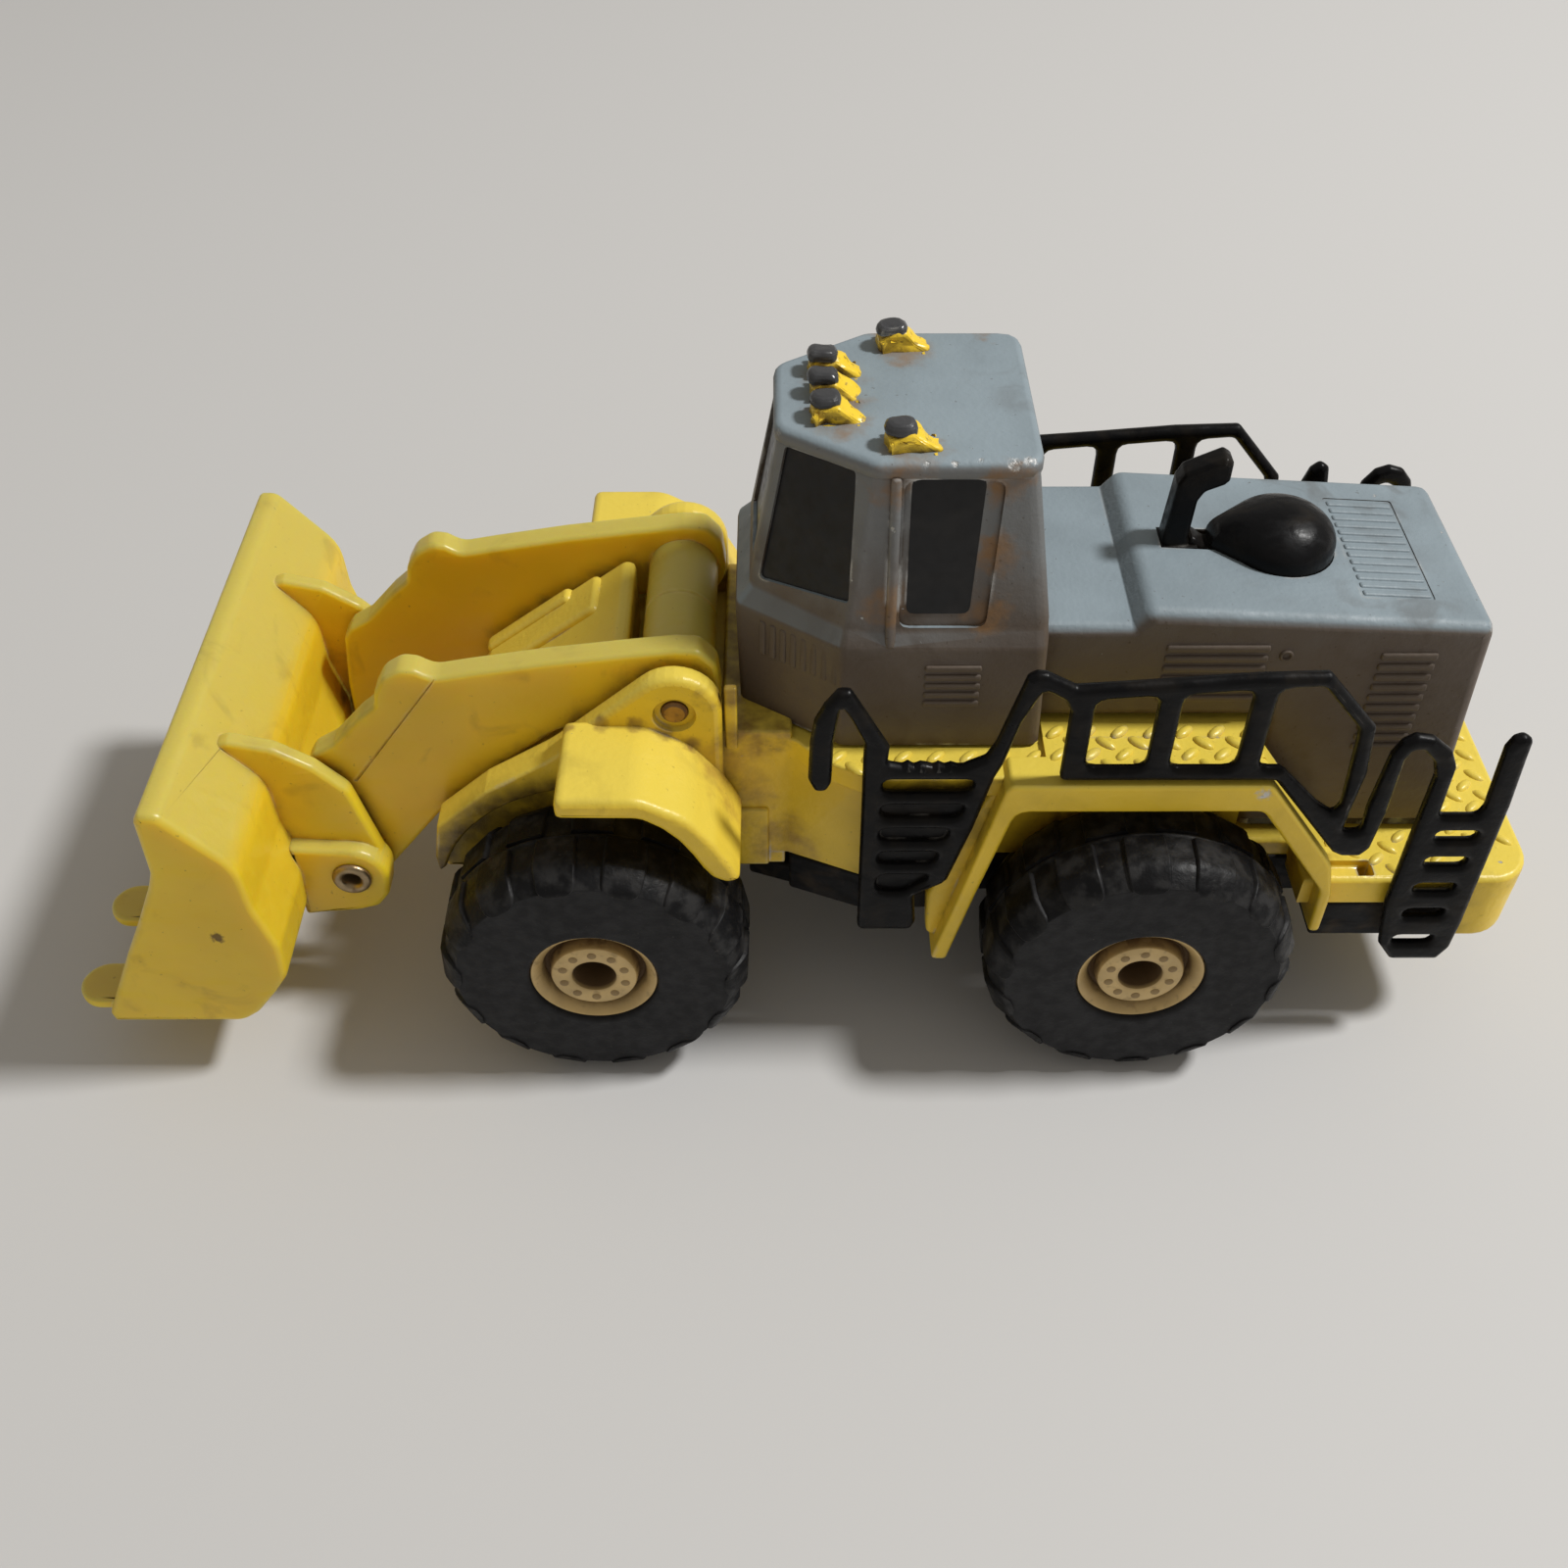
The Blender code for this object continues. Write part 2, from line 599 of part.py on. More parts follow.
for n, (lamp_x, lamp_y) in enumerate(lamps):
    join(cab, plate(f"lamp_{n}", [
        (lamp_x, ROOF_TOP - 0.6), (lamp_x, LAMP_TOP - 0.5), (lamp_x + 0.7, LAMP_TOP),
        (lamp_x + LAMP_LENGTH, ROOF_TOP + 0.6), (lamp_x + LAMP_LENGTH, ROOF_TOP - 0.6),
    ], lamp_y - LAMP_WIDTH / 2, lamp_y + LAMP_WIDTH / 2))
cut(
    cab,
    loft("cab_hollow", [
        (CAB_Z - 1, section(CAB_FOOT, WALL)), (SILL_Z - 1.2, section(CAB_SILL, WALL)),
        (ROOF_Z - 0.4, section(CAB_ROOF, WALL)),
    ]),
    plate("hood_hollow", [
        (37.8, 30.0), (37.8, HOOD_LOW_Z - WALL), (HOOD_STEP_X + 0.6, HOOD_LOW_Z - WALL),
        (HOOD_STEP_X + 2.1, HOOD_TOP_Z - WALL), (HOOD_TAIL_X - WALL, HOOD_TAIL_Z - WALL),
        (HOOD_FOOT_X - WALL, 15.0), (SKIRT_X + WALL, 15.0), (SKIRT_X + WALL, 30.0),
    ], -HOOD_HALF + WALL, HOOD_HALF - WALL),
    plate("windscreen", [
        (10.0, 47.2), (20.0, 47.2), (20.0, 57.6), (10.0, 57.6),
    ], -3.6, 3.6),
    plate("rear_window", [
        (35.0, 48.4), (43.0, 48.4), (43.0, 57.4), (35.0, 57.4),
    ], -6.8, 6.8),
)
quarter_turn = math.atan2(CAB_SILL[3] - CAB_SILL[1], CAB_SILL[2] - CAB_SILL[0])
for name, s in SIDES.items():
    cut(cab, plate(f"door_window_{name}", [
        (27.4, 47.1), (32.8, 47.1), (33.2, 57.9), (27.4, 57.9),
    ], s * 7.0, s * 16.0))
    pane = plate(f"quarter_window_{name}", [(1.2, 46.9), (9.4, 47.6), (8.2, 58.0), (1.7, 57.8)],
                 -4.5, 4.5)
    corner = shift(CAB_SILL[0], s * CAB_SILL[1], 0)
    pane.data.transform(corner @ Matrix.Rotation(s * quarter_turn, 4, "Z") @ shift(0, 0, 0).inverted())
    cut(cab, pane)
keyhole = [
    (KEYHOLE_X, -KEYHOLE_HALF),
    *arc((DOME_X, 0), DOME_R + FIT, 202, 518, 22),
    (KEYHOLE_X, KEYHOLE_HALF),
]
cut(cab, slab("keyhole", keyhole, HOOD_LOW_Z - 3, HOOD_TOP_Z + 3))
join(
    cab,
    rod("hood_post", BOSS_POST_R, SCREW_X[1], 0, (REAR_DECK_Z + FIT, HOOD_TAIL_Z - 1), "Z"),
    box("cab_tongue", (13.6, 14.8), (-4.0, 4.0), (MID_DECK_Z - 1.4, CAB_Z + 1.5)),
)
cut(cab, rod("hood_screw_hole", SCREW_R + 0.1, SCREW_X[1], 0, (15.0, SCREW_TIP_Z[1] + 1), "Z"))
part("cab_body", cab, (0.19, 0.22, 0.24), 0.5, 0.2)

insert = loft("insert_skin", [
    (CAB_Z, section(CAB_FOOT, WALL + 2 * FIT)), (SILL_Z - 1.2, section(CAB_SILL, WALL + FIT)),
    (ROOF_Z - 0.8, section(CAB_ROOF, WALL + FIT)),
])
cut(insert, loft("insert_hollow", [
    (CAB_Z - 1, section(CAB_FOOT, WALL + FIT + INSERT_WALL)),
    (SILL_Z - 1.2, section(CAB_SILL, WALL + FIT + INSERT_WALL)),
    (ROOF_Z - 2.1, section(CAB_ROOF, WALL + FIT + INSERT_WALL)),
]))
part("window_insert", insert, BLACK, 0.15)


# Exhaust stack and dome

plug = inset(keyhole, FIT)
insert_top = HOOD_TOP_Z - (HOOD_TOP_Z - HOOD_TAIL_Z) * 0.55
dome = turned_part("dome", [
    (0, insert_top - 1.0), (DOME_R, insert_top - 1.0), (DOME_R, insert_top + 0.6),
    (DOME_R * 0.93, insert_top + DOME_RISE * 0.45), (DOME_R * 0.75, insert_top + DOME_RISE * 0.75),
    (DOME_R * 0.45, insert_top + DOME_RISE * 0.95), (0, insert_top + DOME_RISE),
], ROUND, (DOME_X, 0, 0), closed=False)
join(
    dome,
    slab("keyhole_plug", plug, HOOD_LOW_Z - 1.6, insert_top - 0.6),
    slab("keyhole_flange", inset(keyhole, -FLANGE), HOOD_LOW_Z - 2.6, HOOD_LOW_Z - 1.4),
    plate("stack", at(KEYHOLE_X, [
        (0.5, HOOD_LOW_Z - 1.5), (0.5, 51.6), (1.1, 52.8), (4.5, 54.5), (5.2, 54.4), (5.2, 53.2),
        (3.5, 51.6), (3.2, 50.6), (3.2, HOOD_LOW_Z - 1.5),
    ]), -STACK_HALF, STACK_HALF),
)
part("exhaust_insert", dome, BLACK, 0.35)


# Railings

rail_outline = at(WHEELBASE, [
    (-25.8, 14.6), (-26.0, 38.5), (-27.1, 41.0), (-28.0, 42.7), (-28.5, 38.6), (-28.6, 33.8),
    (-29.0, 32.9), (-30.0, 32.8), (-30.6, 34.2), (-30.5, 38.5), (-30.2, 40.8), (-29.4, 42.6),
    (-28.3, 44.2), (-27.2, 44.2), (-23.8, 37.9), (-23.9, 36.0), (-17.0, 36.0), (-15.7, 36.7),
    (-15.0, 38.2), (-13.1, 45.6), (-12.4, 46.1), (-11.5, 46.0), (-9.0, 44.6), (-2.6, 45.1),
    (5.2, 45.8), (11.3, 46.0), (16.3, 40.2), (16.9, 35.0), (16.5, 27.7), (18.2, 27.6),
    (18.0, 30.5), (18.4, 36.9), (19.0, 38.4), (20.0, 39.2), (21.6, 38.9), (23.5, 37.3),
    (24.3, 35.6), (24.5, 29.6), (27.9, 29.6), (28.2, 30.6), (28.0, 34.0), (27.8, 37.6),
    (28.2, 38.8), (29.0, 39.2), (29.8, 38.7), (29.9, 36.8), (30.3, 31.0), (30.7, 15.3),
    (30.6, 11.8), (29.8, 10.1), (25.3, 10.1), (23.8, 12.2), (22.9, 17.8), (22.8, 25.0),
    (22.8, 34.4), (22.2, 36.2), (20.9, 37.6), (20.1, 37.6), (19.7, 36.5), (19.8, 30.0),
    (19.5, 25.6), (18.8, 24.6), (17.1, 24.6), (16.2, 25.1), (9.2, RAIL_FOOT_Z),
    (RAIL_POSTS[0] - RAIL_BAR / 2, RAIL_FOOT_Z), (RAIL_POSTS[0] - RAIL_BAR / 2, 42.0),
    (-9.8, 43.2), (-11.6, 44.4), (-13.0, 40.9), (-14.1, 36.1), (-14.7, 34.5), (-16.0, 28.3),
    (-17.8, 21.5), (-18.3, 20.9), (-20.7, 19.4), (-20.4, 15.6), (-20.8, 14.6),
])
rail_low = RAIL_FOOT_Z + 1.4
rail_holes = []
for left, right, top in zip(RAIL_POSTS, RAIL_POSTS[1:], (43.2, 43.8)):
    rail_holes.append([
        (left + RAIL_BAR / 2, rail_low), (right - RAIL_BAR / 2, rail_low),
        (right - RAIL_BAR / 2, top + 0.5), (left + RAIL_BAR / 2, top),
    ])
rail_holes.append([
    (RAIL_POSTS[2] + RAIL_BAR / 2, rail_low), (9.6, rail_low), (13.6, 31.2), (15.2, 30.0),
    (15.6, 31.0), (15.1, 38.6), (14.9, 40.0), (10.9, 44.7), (RAIL_POSTS[2] + RAIL_BAR / 2, 44.4),
])
for top, right in ((34.2, -16.3), (31.2, -16.9), (28.2, -18.0), (25.2, -18.8)):
    rail_holes.append([
        (-24.2, top - LADDER_SLOT), (right - 0.4, top - LADDER_SLOT), (right, top), (-24.2, top),
    ])
rail_holes.append([(-24.2, 19.8), (-21.8, 19.8), (-19.8, 21.3), (-19.6, 22.2), (-24.2, 22.2)])
for top in (27.8, 24.4, 20.9, 17.4, 13.6):
    rail_holes.append([
        (24.9, top - LADDER_SLOT), (28.6, top - LADDER_SLOT), (28.6, top), (24.9, top),
    ])
for name, s in SIDES.items():
    holes = [at(WHEELBASE, hole) for hole in rail_holes]
    railing = plate(f"rail_{name}", rail_outline, s * RAIL_IN, s * RAIL_OUT, holes)
    for n in (0, 2):
        join(railing, rod(f"stud_{name}_{n}", STUD_R, WHEELBASE + RAIL_POSTS[n],
                          s * (RAIL_IN + RAIL_OUT) / 2, (STUD_Z, RAIL_FOOT_Z + 0.8), "Z", 12))
    part(f"railing_{name}", railing, BLACK, 0.3)


# Screws

for name, screw_x, tip in zip(("front", "rear"), SCREW_X, SCREW_TIP_Z):
    head = BASE_Z + SCREW_SINK
    screw = turned_part(f"screw_{name}", [
        (0, head), (SCREW_HEAD_R, head), (SCREW_HEAD_R, head + SCREW_HEAD),
        (SCREW_R, head + SCREW_HEAD), (SCREW_R, tip - 1), (0, tip),
    ], 16, (screw_x, 0, 0), closed=False)
    part(f"base_screw_{name}", screw, (0.4, 0.4, 0.42), 0.35, 1.0)


# Lift arm

arm_outline = [
    *arc(ARM_PIVOT, ARM_END_R, -128, 74, 16), (3.8, 40.7), (-3.1, 39.8), (-10.1, 39.0),
    (-13.2, 38.4), (-14.6, 39.3), (-15.9, 39.5), (-17.6, 38.4), (-18.6, 36.6), (-18.8, 35.2),
    (-20.5, 33.7), (-23.3, 30.6), (-25.4, 29.3), (-26.2, 28.0), (-26.9, 22.0),
    *arc(BUCKET_PIVOT, ARM_NOSE_R, 180, 318, 9), (-14.9, 21.8), (-9.6, 26.9), (-2.8, 32.4),
]
arm = rod("arm_tube", ARM_TUBE_R, ARM_PIVOT[0], (-ARM_IN - 0.5, ARM_IN + 0.5), ARM_PIVOT[1], "Y")
for name, s in SIDES.items():
    join(arm, plate(f"arm_{name}", arm_outline, s * ARM_IN, s * ARM_OUT))
reach = BOSS_OUT + 1
cut(
    arm,
    rod("arm_bore", PIN_R + SHAFT_FIT, ARM_PIVOT[0], (-reach, reach), ARM_PIVOT[1], "Y"),
    rod("arm_rivet_bore", RIVET_R + SHAFT_FIT, BUCKET_PIVOT[0], (-reach, reach),
        BUCKET_PIVOT[1], "Y"),
)
part("lift_arm", arm, YELLOW, 0.35)


# Bucket

bucket = plate("bucket_skin", [
    (-36.3, 34.9), (-34.7, 34.9), (-29.4, 28.4), (-29.2, 23.0), (-28.0, 17.8), (-28.3, 13.5),
    (-29.8, 11.2), (-32.0, 8.2), (-33.7, BUCKET_Z), (-46.0, BUCKET_Z), (-46.2, 8.0), (-42.3, 16.3),
    (-39.9, 21.1), (-37.8, 25.6), (-37.1, 27.6), (-36.9, 31.9), (-36.8, 34.0),
], -BUCKET_HALF, BUCKET_HALF)
for name, s in SIDES.items():
    join(
        bucket,
        plate(f"rib_{name}", [
            (-33.2, 32.5), (-31.9, 32.9), (-28.1, 31.9), (-24.9, 29.7), (-22.3, 26.7),
            (-20.3, 17.5), (-24.0, 13.8), (-29.0, 12.8), (-28.9, 17.8), (-30.0, 23.0),
            (-30.2, 28.2),
        ], s * RIB_IN, s * (RIB_IN + RIB_THICK)),
        plate(f"boss_{name}", [
            (-28.8, 20.7), *arc(BUCKET_PIVOT, BOSS_R, 90, -10, 9), (-20.4, 14.2), (-21.6, 12.6),
            (-23.4, 12.0), (-28.9, 11.4),
        ], s * (RIB_IN + 0.02), s * BOSS_OUT),
    )
cut(bucket, plate("bucket_hollow", [
    (-60.0, 33.3), (-35.3, 33.3), (-31.0, 27.8), (-30.8, 22.8), (-29.6, 17.6), (-29.9, 14.0),
    (-31.2, 12.0), (-33.2, 9.4), (-34.5, 8.4), (-60.0, 8.4),
], -BUCKET_HALF + BUCKET_END, BUCKET_HALF - BUCKET_END))
tooth_centre = -FRONT_REACH + TOOTH_WIDTH / 2
tooth_z = BUCKET_Z + TOOTH_LIFT
for n in range(-2, 3):
    y = n * TOOTH_PITCH
    tip = arc((tooth_centre, y), TOOTH_WIDTH / 2, 90, 270, 9)
    root = [(-45.0, y - TOOTH_WIDTH / 2), (-45.0, y + TOOTH_WIDTH / 2)]
    join(bucket, slab(f"tooth_{n + 2}", tip + root, tooth_z, tooth_z + TOOTH_THICK))
cut(bucket, rod("bucket_bore", RIVET_R + SHAFT_FIT, BUCKET_PIVOT[0], (-reach, reach),
                BUCKET_PIVOT[1], "Y"))
part("bucket", bucket, YELLOW, 0.35)

rivets = []
for name, s in SIDES.items():
    inner = ARM_IN - 0.1
    outer = BOSS_OUT + 0.06
    rivet = turned_part(f"rivet_{name}", [
        (0, inner - 0.5), (RIVET_HEAD_R - 0.1, inner - 0.5), (RIVET_HEAD_R - 0.1, inner),
        (RIVET_R, inner), (RIVET_R, outer), (RIVET_HEAD_R, outer),
        (RIVET_HEAD_R, outer + RIVET_HEAD * 0.6), (RIVET_HEAD_R - 0.35, outer + RIVET_HEAD),
        (RIVET_HOLE_R, outer + RIVET_HEAD * 0.8), (RIVET_HOLE_R, outer - 2.5), (0, outer - 2.5),
    ], ROUND, (BUCKET_PIVOT[0], 0, BUCKET_PIVOT[1]), side=s, closed=False)
    rivets.append(part(f"bucket_rivet_{name}", rivet, (0.5, 0.42, 0.3), 0.35, 0.9))


# Wheels

def tyre(name, axle_x, s):
    """A tyre with its lugs: every third step of the tread is drawn in."""
    profile = [
        (HUB_R + HUB_FIT, TYRE_IN), (SIDEWALL_R, TYRE_IN), (SHOULDER_R, TYRE_IN + SHOULDER_DROP),
        (TYRE_R, TYRE_IN + TREAD_DROP), (TYRE_R, TYRE_OUT - TREAD_DROP),
        (SHOULDER_R, TYRE_OUT - SHOULDER_DROP), (SIDEWALL_R, TYRE_OUT), (HUB_R + HUB_FIT, TYRE_OUT),
    ]
    mesh = turned(name, profile, 3 * LUGS)
    turn = 2 * math.pi / (3 * LUGS)
    for vertex in mesh.vertices:
        radius = math.hypot(vertex.co.x, vertex.co.y)
        step = round(math.atan2(vertex.co.y, vertex.co.x) / turn)
        if radius > (TYRE_R - 0.1) * MM and step % 3 == 2:
            vertex.co.xy *= 1 - LUG_DEPTH / TYRE_R
    lay = Matrix.Rotation(-s * math.pi / 2, 4, "X")
    level = Matrix.Rotation(turn / 2, 4, "Z")
    mesh.transform(shift(axle_x, 0, AXLE_Z) @ lay @ level)
    return part(name, helper(name, tidy(mesh)), (0.03, 0.03, 0.032), 0.7)


def hub(name, axle_x, s):
    floor = HUB_FACE - HUB_GROOVE
    profile = [
        (AXLE_R + SHAFT_FIT, TYRE_IN + 0.7), (HUB_R, TYRE_IN + 0.7), (HUB_R, HUB_FACE - 0.4),
        (HUB_R - 0.6, HUB_FACE - 0.4), (HUB_R - 0.9, floor), (NAVE_R + 0.25, floor),
        (NAVE_R, HUB_FACE), (NAVE_HOLE_R + 0.15, HUB_FACE), (NAVE_HOLE_R, AXLE_HALF - 0.5),
        (AXLE_R + SHAFT_FIT, AXLE_HALF - 0.5),
    ]
    turned_hub = turned_part(name, profile, ROUND, (axle_x, 0, AXLE_Z), side=s)
    return part(name, turned_hub, (0.5, 0.33, 0.1), 0.45)


wheel_sets = {}
for end, axle_x in (("front", 0.0), ("rear", WHEELBASE)):
    axle = rod(f"rod_{end}", AXLE_R, axle_x, (-AXLE_HALF, AXLE_HALF), AXLE_Z, "Y")
    wheel_sets[end] = [part(f"axle_{end}", axle, (0.5, 0.5, 0.52), 0.3, 1.0)]
    for name, s in SIDES.items():
        wheel_sets[end].append(hub(f"hub_{end}_{name}", axle_x, s))
        wheel_sets[end].append(tyre(f"tyre_{end}_{name}", axle_x, s))


# Joint axes

arm_axis = axis_empty("lift_arm_axis", *ARM_PIVOT, [arm])
axis_empty("bucket_axis", *BUCKET_PIVOT, [bucket, *rivets], arm_axis)
axis_empty("front_axle_axis", 0, AXLE_Z, wheel_sets["front"])
axis_empty("rear_axle_axis", WHEELBASE, AXLE_Z, wheel_sets["rear"])
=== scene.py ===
"""Looks of a toy front loader: rounded castings, moulded plastic, worn paint and a plain stage.

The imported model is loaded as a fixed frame, and each of its solids gets a dressed piece in the same
place. Outlines are in millimetres: X from the front axle towards the rear, Y from the centre plane,
Z from the ground. The front faces -X, and the left side faces -Y.
"""

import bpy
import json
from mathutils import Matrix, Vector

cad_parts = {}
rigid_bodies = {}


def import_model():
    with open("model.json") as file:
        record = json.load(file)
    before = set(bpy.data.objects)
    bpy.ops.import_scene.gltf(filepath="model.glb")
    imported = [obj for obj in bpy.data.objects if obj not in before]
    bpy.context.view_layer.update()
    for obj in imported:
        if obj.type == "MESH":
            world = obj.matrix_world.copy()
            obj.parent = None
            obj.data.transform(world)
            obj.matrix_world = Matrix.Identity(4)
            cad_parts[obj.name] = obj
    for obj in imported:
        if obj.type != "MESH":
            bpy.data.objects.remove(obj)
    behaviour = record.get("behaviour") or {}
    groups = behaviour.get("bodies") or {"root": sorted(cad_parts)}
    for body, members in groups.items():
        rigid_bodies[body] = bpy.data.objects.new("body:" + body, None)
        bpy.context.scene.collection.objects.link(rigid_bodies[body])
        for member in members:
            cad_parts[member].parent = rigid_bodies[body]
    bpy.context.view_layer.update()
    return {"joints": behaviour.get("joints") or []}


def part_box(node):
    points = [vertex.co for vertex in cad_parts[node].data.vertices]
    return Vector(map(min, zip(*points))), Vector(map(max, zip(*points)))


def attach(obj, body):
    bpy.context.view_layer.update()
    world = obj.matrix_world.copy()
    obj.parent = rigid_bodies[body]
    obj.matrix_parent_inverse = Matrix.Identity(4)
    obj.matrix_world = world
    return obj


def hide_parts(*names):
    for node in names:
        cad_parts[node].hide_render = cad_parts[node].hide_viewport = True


bl_info = {
    "name": "Toy Front Loader Looks",
    "version": (1, 0, 0),
    "blender": (4, 5, 0),
    "location": "View3D > Sidebar > Loader",
    "description": "Dresses the packed toy front loader and sets its stage",
    "category": "Object",
}

import json
import math
import random

import bmesh
import bpy
from bpy.props import FloatProperty, FloatVectorProperty, IntProperty, PointerProperty
from bpy.types import Operator, Panel, PropertyGroup
from mathutils import Matrix, Vector, noise

for leftover in list(bpy.data.objects):
    bpy.data.objects.remove(leftover, do_unlink=True)
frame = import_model()

MM = 0.001
SIDES = {"left": -1, "right": 1}
ENDS = ("front", "rear")
JOINTS = {joint["name"]: [value / MM for value in joint["pos_m"]] for joint in frame["joints"]}


# Sizes read from the frame

def span(node, axis):
    """Lowest and highest place of a node along an axis, in millimetres."""
    low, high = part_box(node)
    return low[axis] / MM, high[axis] / MM


def radius_of(node):
    """Half the height of a round node, in millimetres."""
    low, high = span(node, 2)
    return (high - low) / 2


FRONT_X = JOINTS["front_wheels_roll"][0]
WHEELBASE = JOINTS["rear_wheels_roll"][0] - FRONT_X
AXLE_Z = JOINTS["front_wheels_roll"][2]
ARM_PIVOT = (JOINTS["arm_lift"][0] - FRONT_X, JOINTS["arm_lift"][2])
BUCKET_PIVOT = (JOINTS["bucket_tip"][0] - FRONT_X, JOINTS["bucket_tip"][2])
TYRE_IN, TYRE_OUT = span("tyre_front_right", 1)
TYRE_MIDDLE = (TYRE_IN + TYRE_OUT) / 2
TYRE_R = AXLE_Z - span("tyre_front_right", 2)[0]
HUB_R = radius_of("hub_front_right")
HUB_FACE = span("hub_front_right", 1)[1]
RAIL_IN, RAIL_OUT = span("railing_right", 1)
ARM_OUT = span("lift_arm", 1)[1]
BUCKET_HALF = span("bucket", 1)[1]
BUCKET_Z = span("bucket", 2)[0]
BASE_Z = span("base_plate", 2)[0]
TAIL_X = span("chassis", 0)[1] - FRONT_X
LAMP_TOP = span("cab_body", 2)[1]
PIN_R = radius_of("arm_pin")
PIN_BORE = PIN_R + 0.07

# Places, heights, half widths and bores that pieces share
MID_DECK_Z = 33.15
FENDER_DECK_Z = 33.8
RAIL_FOOT_Z = FENDER_DECK_Z + 0.3
REAR_DECK_Z = 19.9
DECK_HALF = 17.2
FRAME_HALF = 12.4
MID_HALF = 15.2
EAR_IN = 10.9
EAR_OUT = 13.2
BOX_HALF = 7.0
ARM_IN = 7.7
RIB_IN = ARM_OUT + 0.4
BOSS_OUT = RIB_IN + 3.3
RIVET_BORE = 1.37
CAB_Z = 33.5
BELT_Z = 44.3
SILL_Z = 45.7
ROOF_Z = 59.2
ROOF_TOP = 60.4
CAB_WALL = 1.4
HOOD_HALF = 10.7
HOOD_LOW_Z = 44.5
HOOD_TOP_Z = 46.1
HOOD_TAIL_Z = 44.4
DOME_X = WHEELBASE + 11.0
KEYHOLE_X = WHEELBASE + 0.4
KEYHOLE_HALF = 1.5
PLUG_Z = 42.9
VENT_FROM = 18.0
VENT_TO = 24.4
VENT_HALF = 7.3

# Level outlines of the cab: front x, front half width, corner x, side half width, rear x
CAB_FOOT = (13.5, 7.6, 22.4, 13.4, 39.8)
CAB_BELT = (13.2, 6.9, 22.2, 13.1, 39.5)
CAB_SILL = (14.5, 6.2, 22.5, 12.4, 39.4)
CAB_ROOF = (16.8, 4.7, 24.5, 9.9, 37.5)


# Settings

def length(name, description, default):
    return FloatProperty(
        name=name, description=description, default=default * MM, unit="LENGTH", precision=5,
    )


def number(name, description, default):
    return IntProperty(name=name, description=description, default=default, min=3, subtype="UNSIGNED")


def colour(name, description, default):
    return FloatVectorProperty(
        name=name, description=description, default=default, size=3, min=0, max=1, subtype="COLOR"
    )


class LoaderSizes(PropertyGroup):
    """Rounding of edges, and sizes and numbers of what repeats"""
    casting_round: length("Casting edge", "Edge radius of the painted castings", 0.55)
    plastic_round: length("Plastic edge", "Edge radius of the yellow mouldings", 0.5)
    rail_round: length("Rail edge", "Edge radius of the railings", 0.6)
    stud_pitch: length("Stud pitch", "Distance between like studs of the tread plate", 2.85)
    stud_long: length("Stud length", "Length of one stud of the tread plate", 2.15)
    stud_wide: length("Stud width", "Width of one stud of the tread plate", 1.0)
    stud_high: length("Stud height", "How far a stud stands up", 0.34)
    lug_count: number("Lugs", "Tread lugs on each shoulder", 14)
    lug_high: length("Lug height", "How far a lug stands up from the tread", 0.42)
    bolt_count: number("Bolts", "Bolt dots on each hub", 10)
    slat_count: number("Hood slats", "Slats in the hood's panel", 13)


class LoaderColours(PropertyGroup):
    """Base colours of the finishes"""
    paint: colour("Yellow paint", "Enamel on the chassis", (0.90, 0.62, 0.035))
    cab: colour("Grey paint", "Enamel on the cab and hood", (0.235, 0.29, 0.325))
    plastic: colour("Yellow plastic", "Lift arm and bucket", (0.82, 0.56, 0.02))
    black: colour("Black plastic", "Railings and exhaust", (0.004, 0.004, 0.0045))
    rubber: colour("Rubber", "Tyres", (0.0105, 0.0105, 0.012))
    hub: colour("Hub plastic", "Hubs", (0.64, 0.45, 0.18))
    # Grime is also the colour of painted shade: on upright faces, deep in enamel corners and under the front
    # arches.
    grime_and_shade: colour("Grime", "Dirt in the corners", (0.10, 0.052, 0.018))
    metal: colour("Bare metal", "Where the paint is chipped", (0.55, 0.55, 0.54))


class LoaderStage(PropertyGroup):
    """Floor and light"""
    floor: colour("Floor", "Colour of the floor", (0.578, 0.573, 0.568))
    key_power: FloatProperty(
        name="Key light", description="Power of the soft key light", default=11.8, unit="POWER"
    )
    fill: FloatProperty(
        name="Fill", description="Strength of the even light all round", default=0.33, subtype="FACTOR"
    )


# Shapes

def place(x, y, z):
    """Matrix that carries an outline's origin to a place on the toy."""
    return Matrix.Translation(((FRONT_X + x) * MM, y * MM, z * MM))


def arc(centre, radius, start, end, count):
    """Points on an arc, angles in degrees."""
    turns = [math.radians(start + (end - start) * i / (count - 1)) for i in range(count)]
    return [(centre[0] + radius * math.cos(a), centre[1] + radius * math.sin(a)) for a in turns]


def at(start, outline):
    """An outline moved along X to start."""
    return [(start + point[0], *point[1:]) for point in outline]


def both(points):
    """The outline whose positive-Y half is given from front to rear."""
    return points + [(x, -y) for x, y in reversed(points)]


def rect(x_from, x_to, y_from, y_to):
    return [(x_from, y_from), (x_to, y_from), (x_to, y_to), (x_from, y_to)]


def soften(outline, radius, steps=3):
    """An outline with rounded corners: a third number in a point is that corner's own radius."""
    rounded = []
    for i, here in enumerate(outline):
        corner = Vector(here[:2])
        before = Vector(outline[i - 1][:2]) - corner
        after = Vector(outline[(i + 1) % len(outline)][:2]) - corner
        angle = before.angle(after)
        own = here[2] if len(here) > 2 else radius
        if own <= 0 or angle > math.radians(176):
            rounded.append(tuple(corner))
            continue
        reach = min(own / math.tan(angle / 2), 0.46 * before.length, 0.46 * after.length)
        start = corner + before.normalized() * reach
        end = corner + after.normalized() * reach
        for step in range(steps + 1):
            t = step / steps
            point = start.lerp(corner, t).lerp(corner.lerp(end, t), t)
            rounded.append(tuple(point))
    return rounded


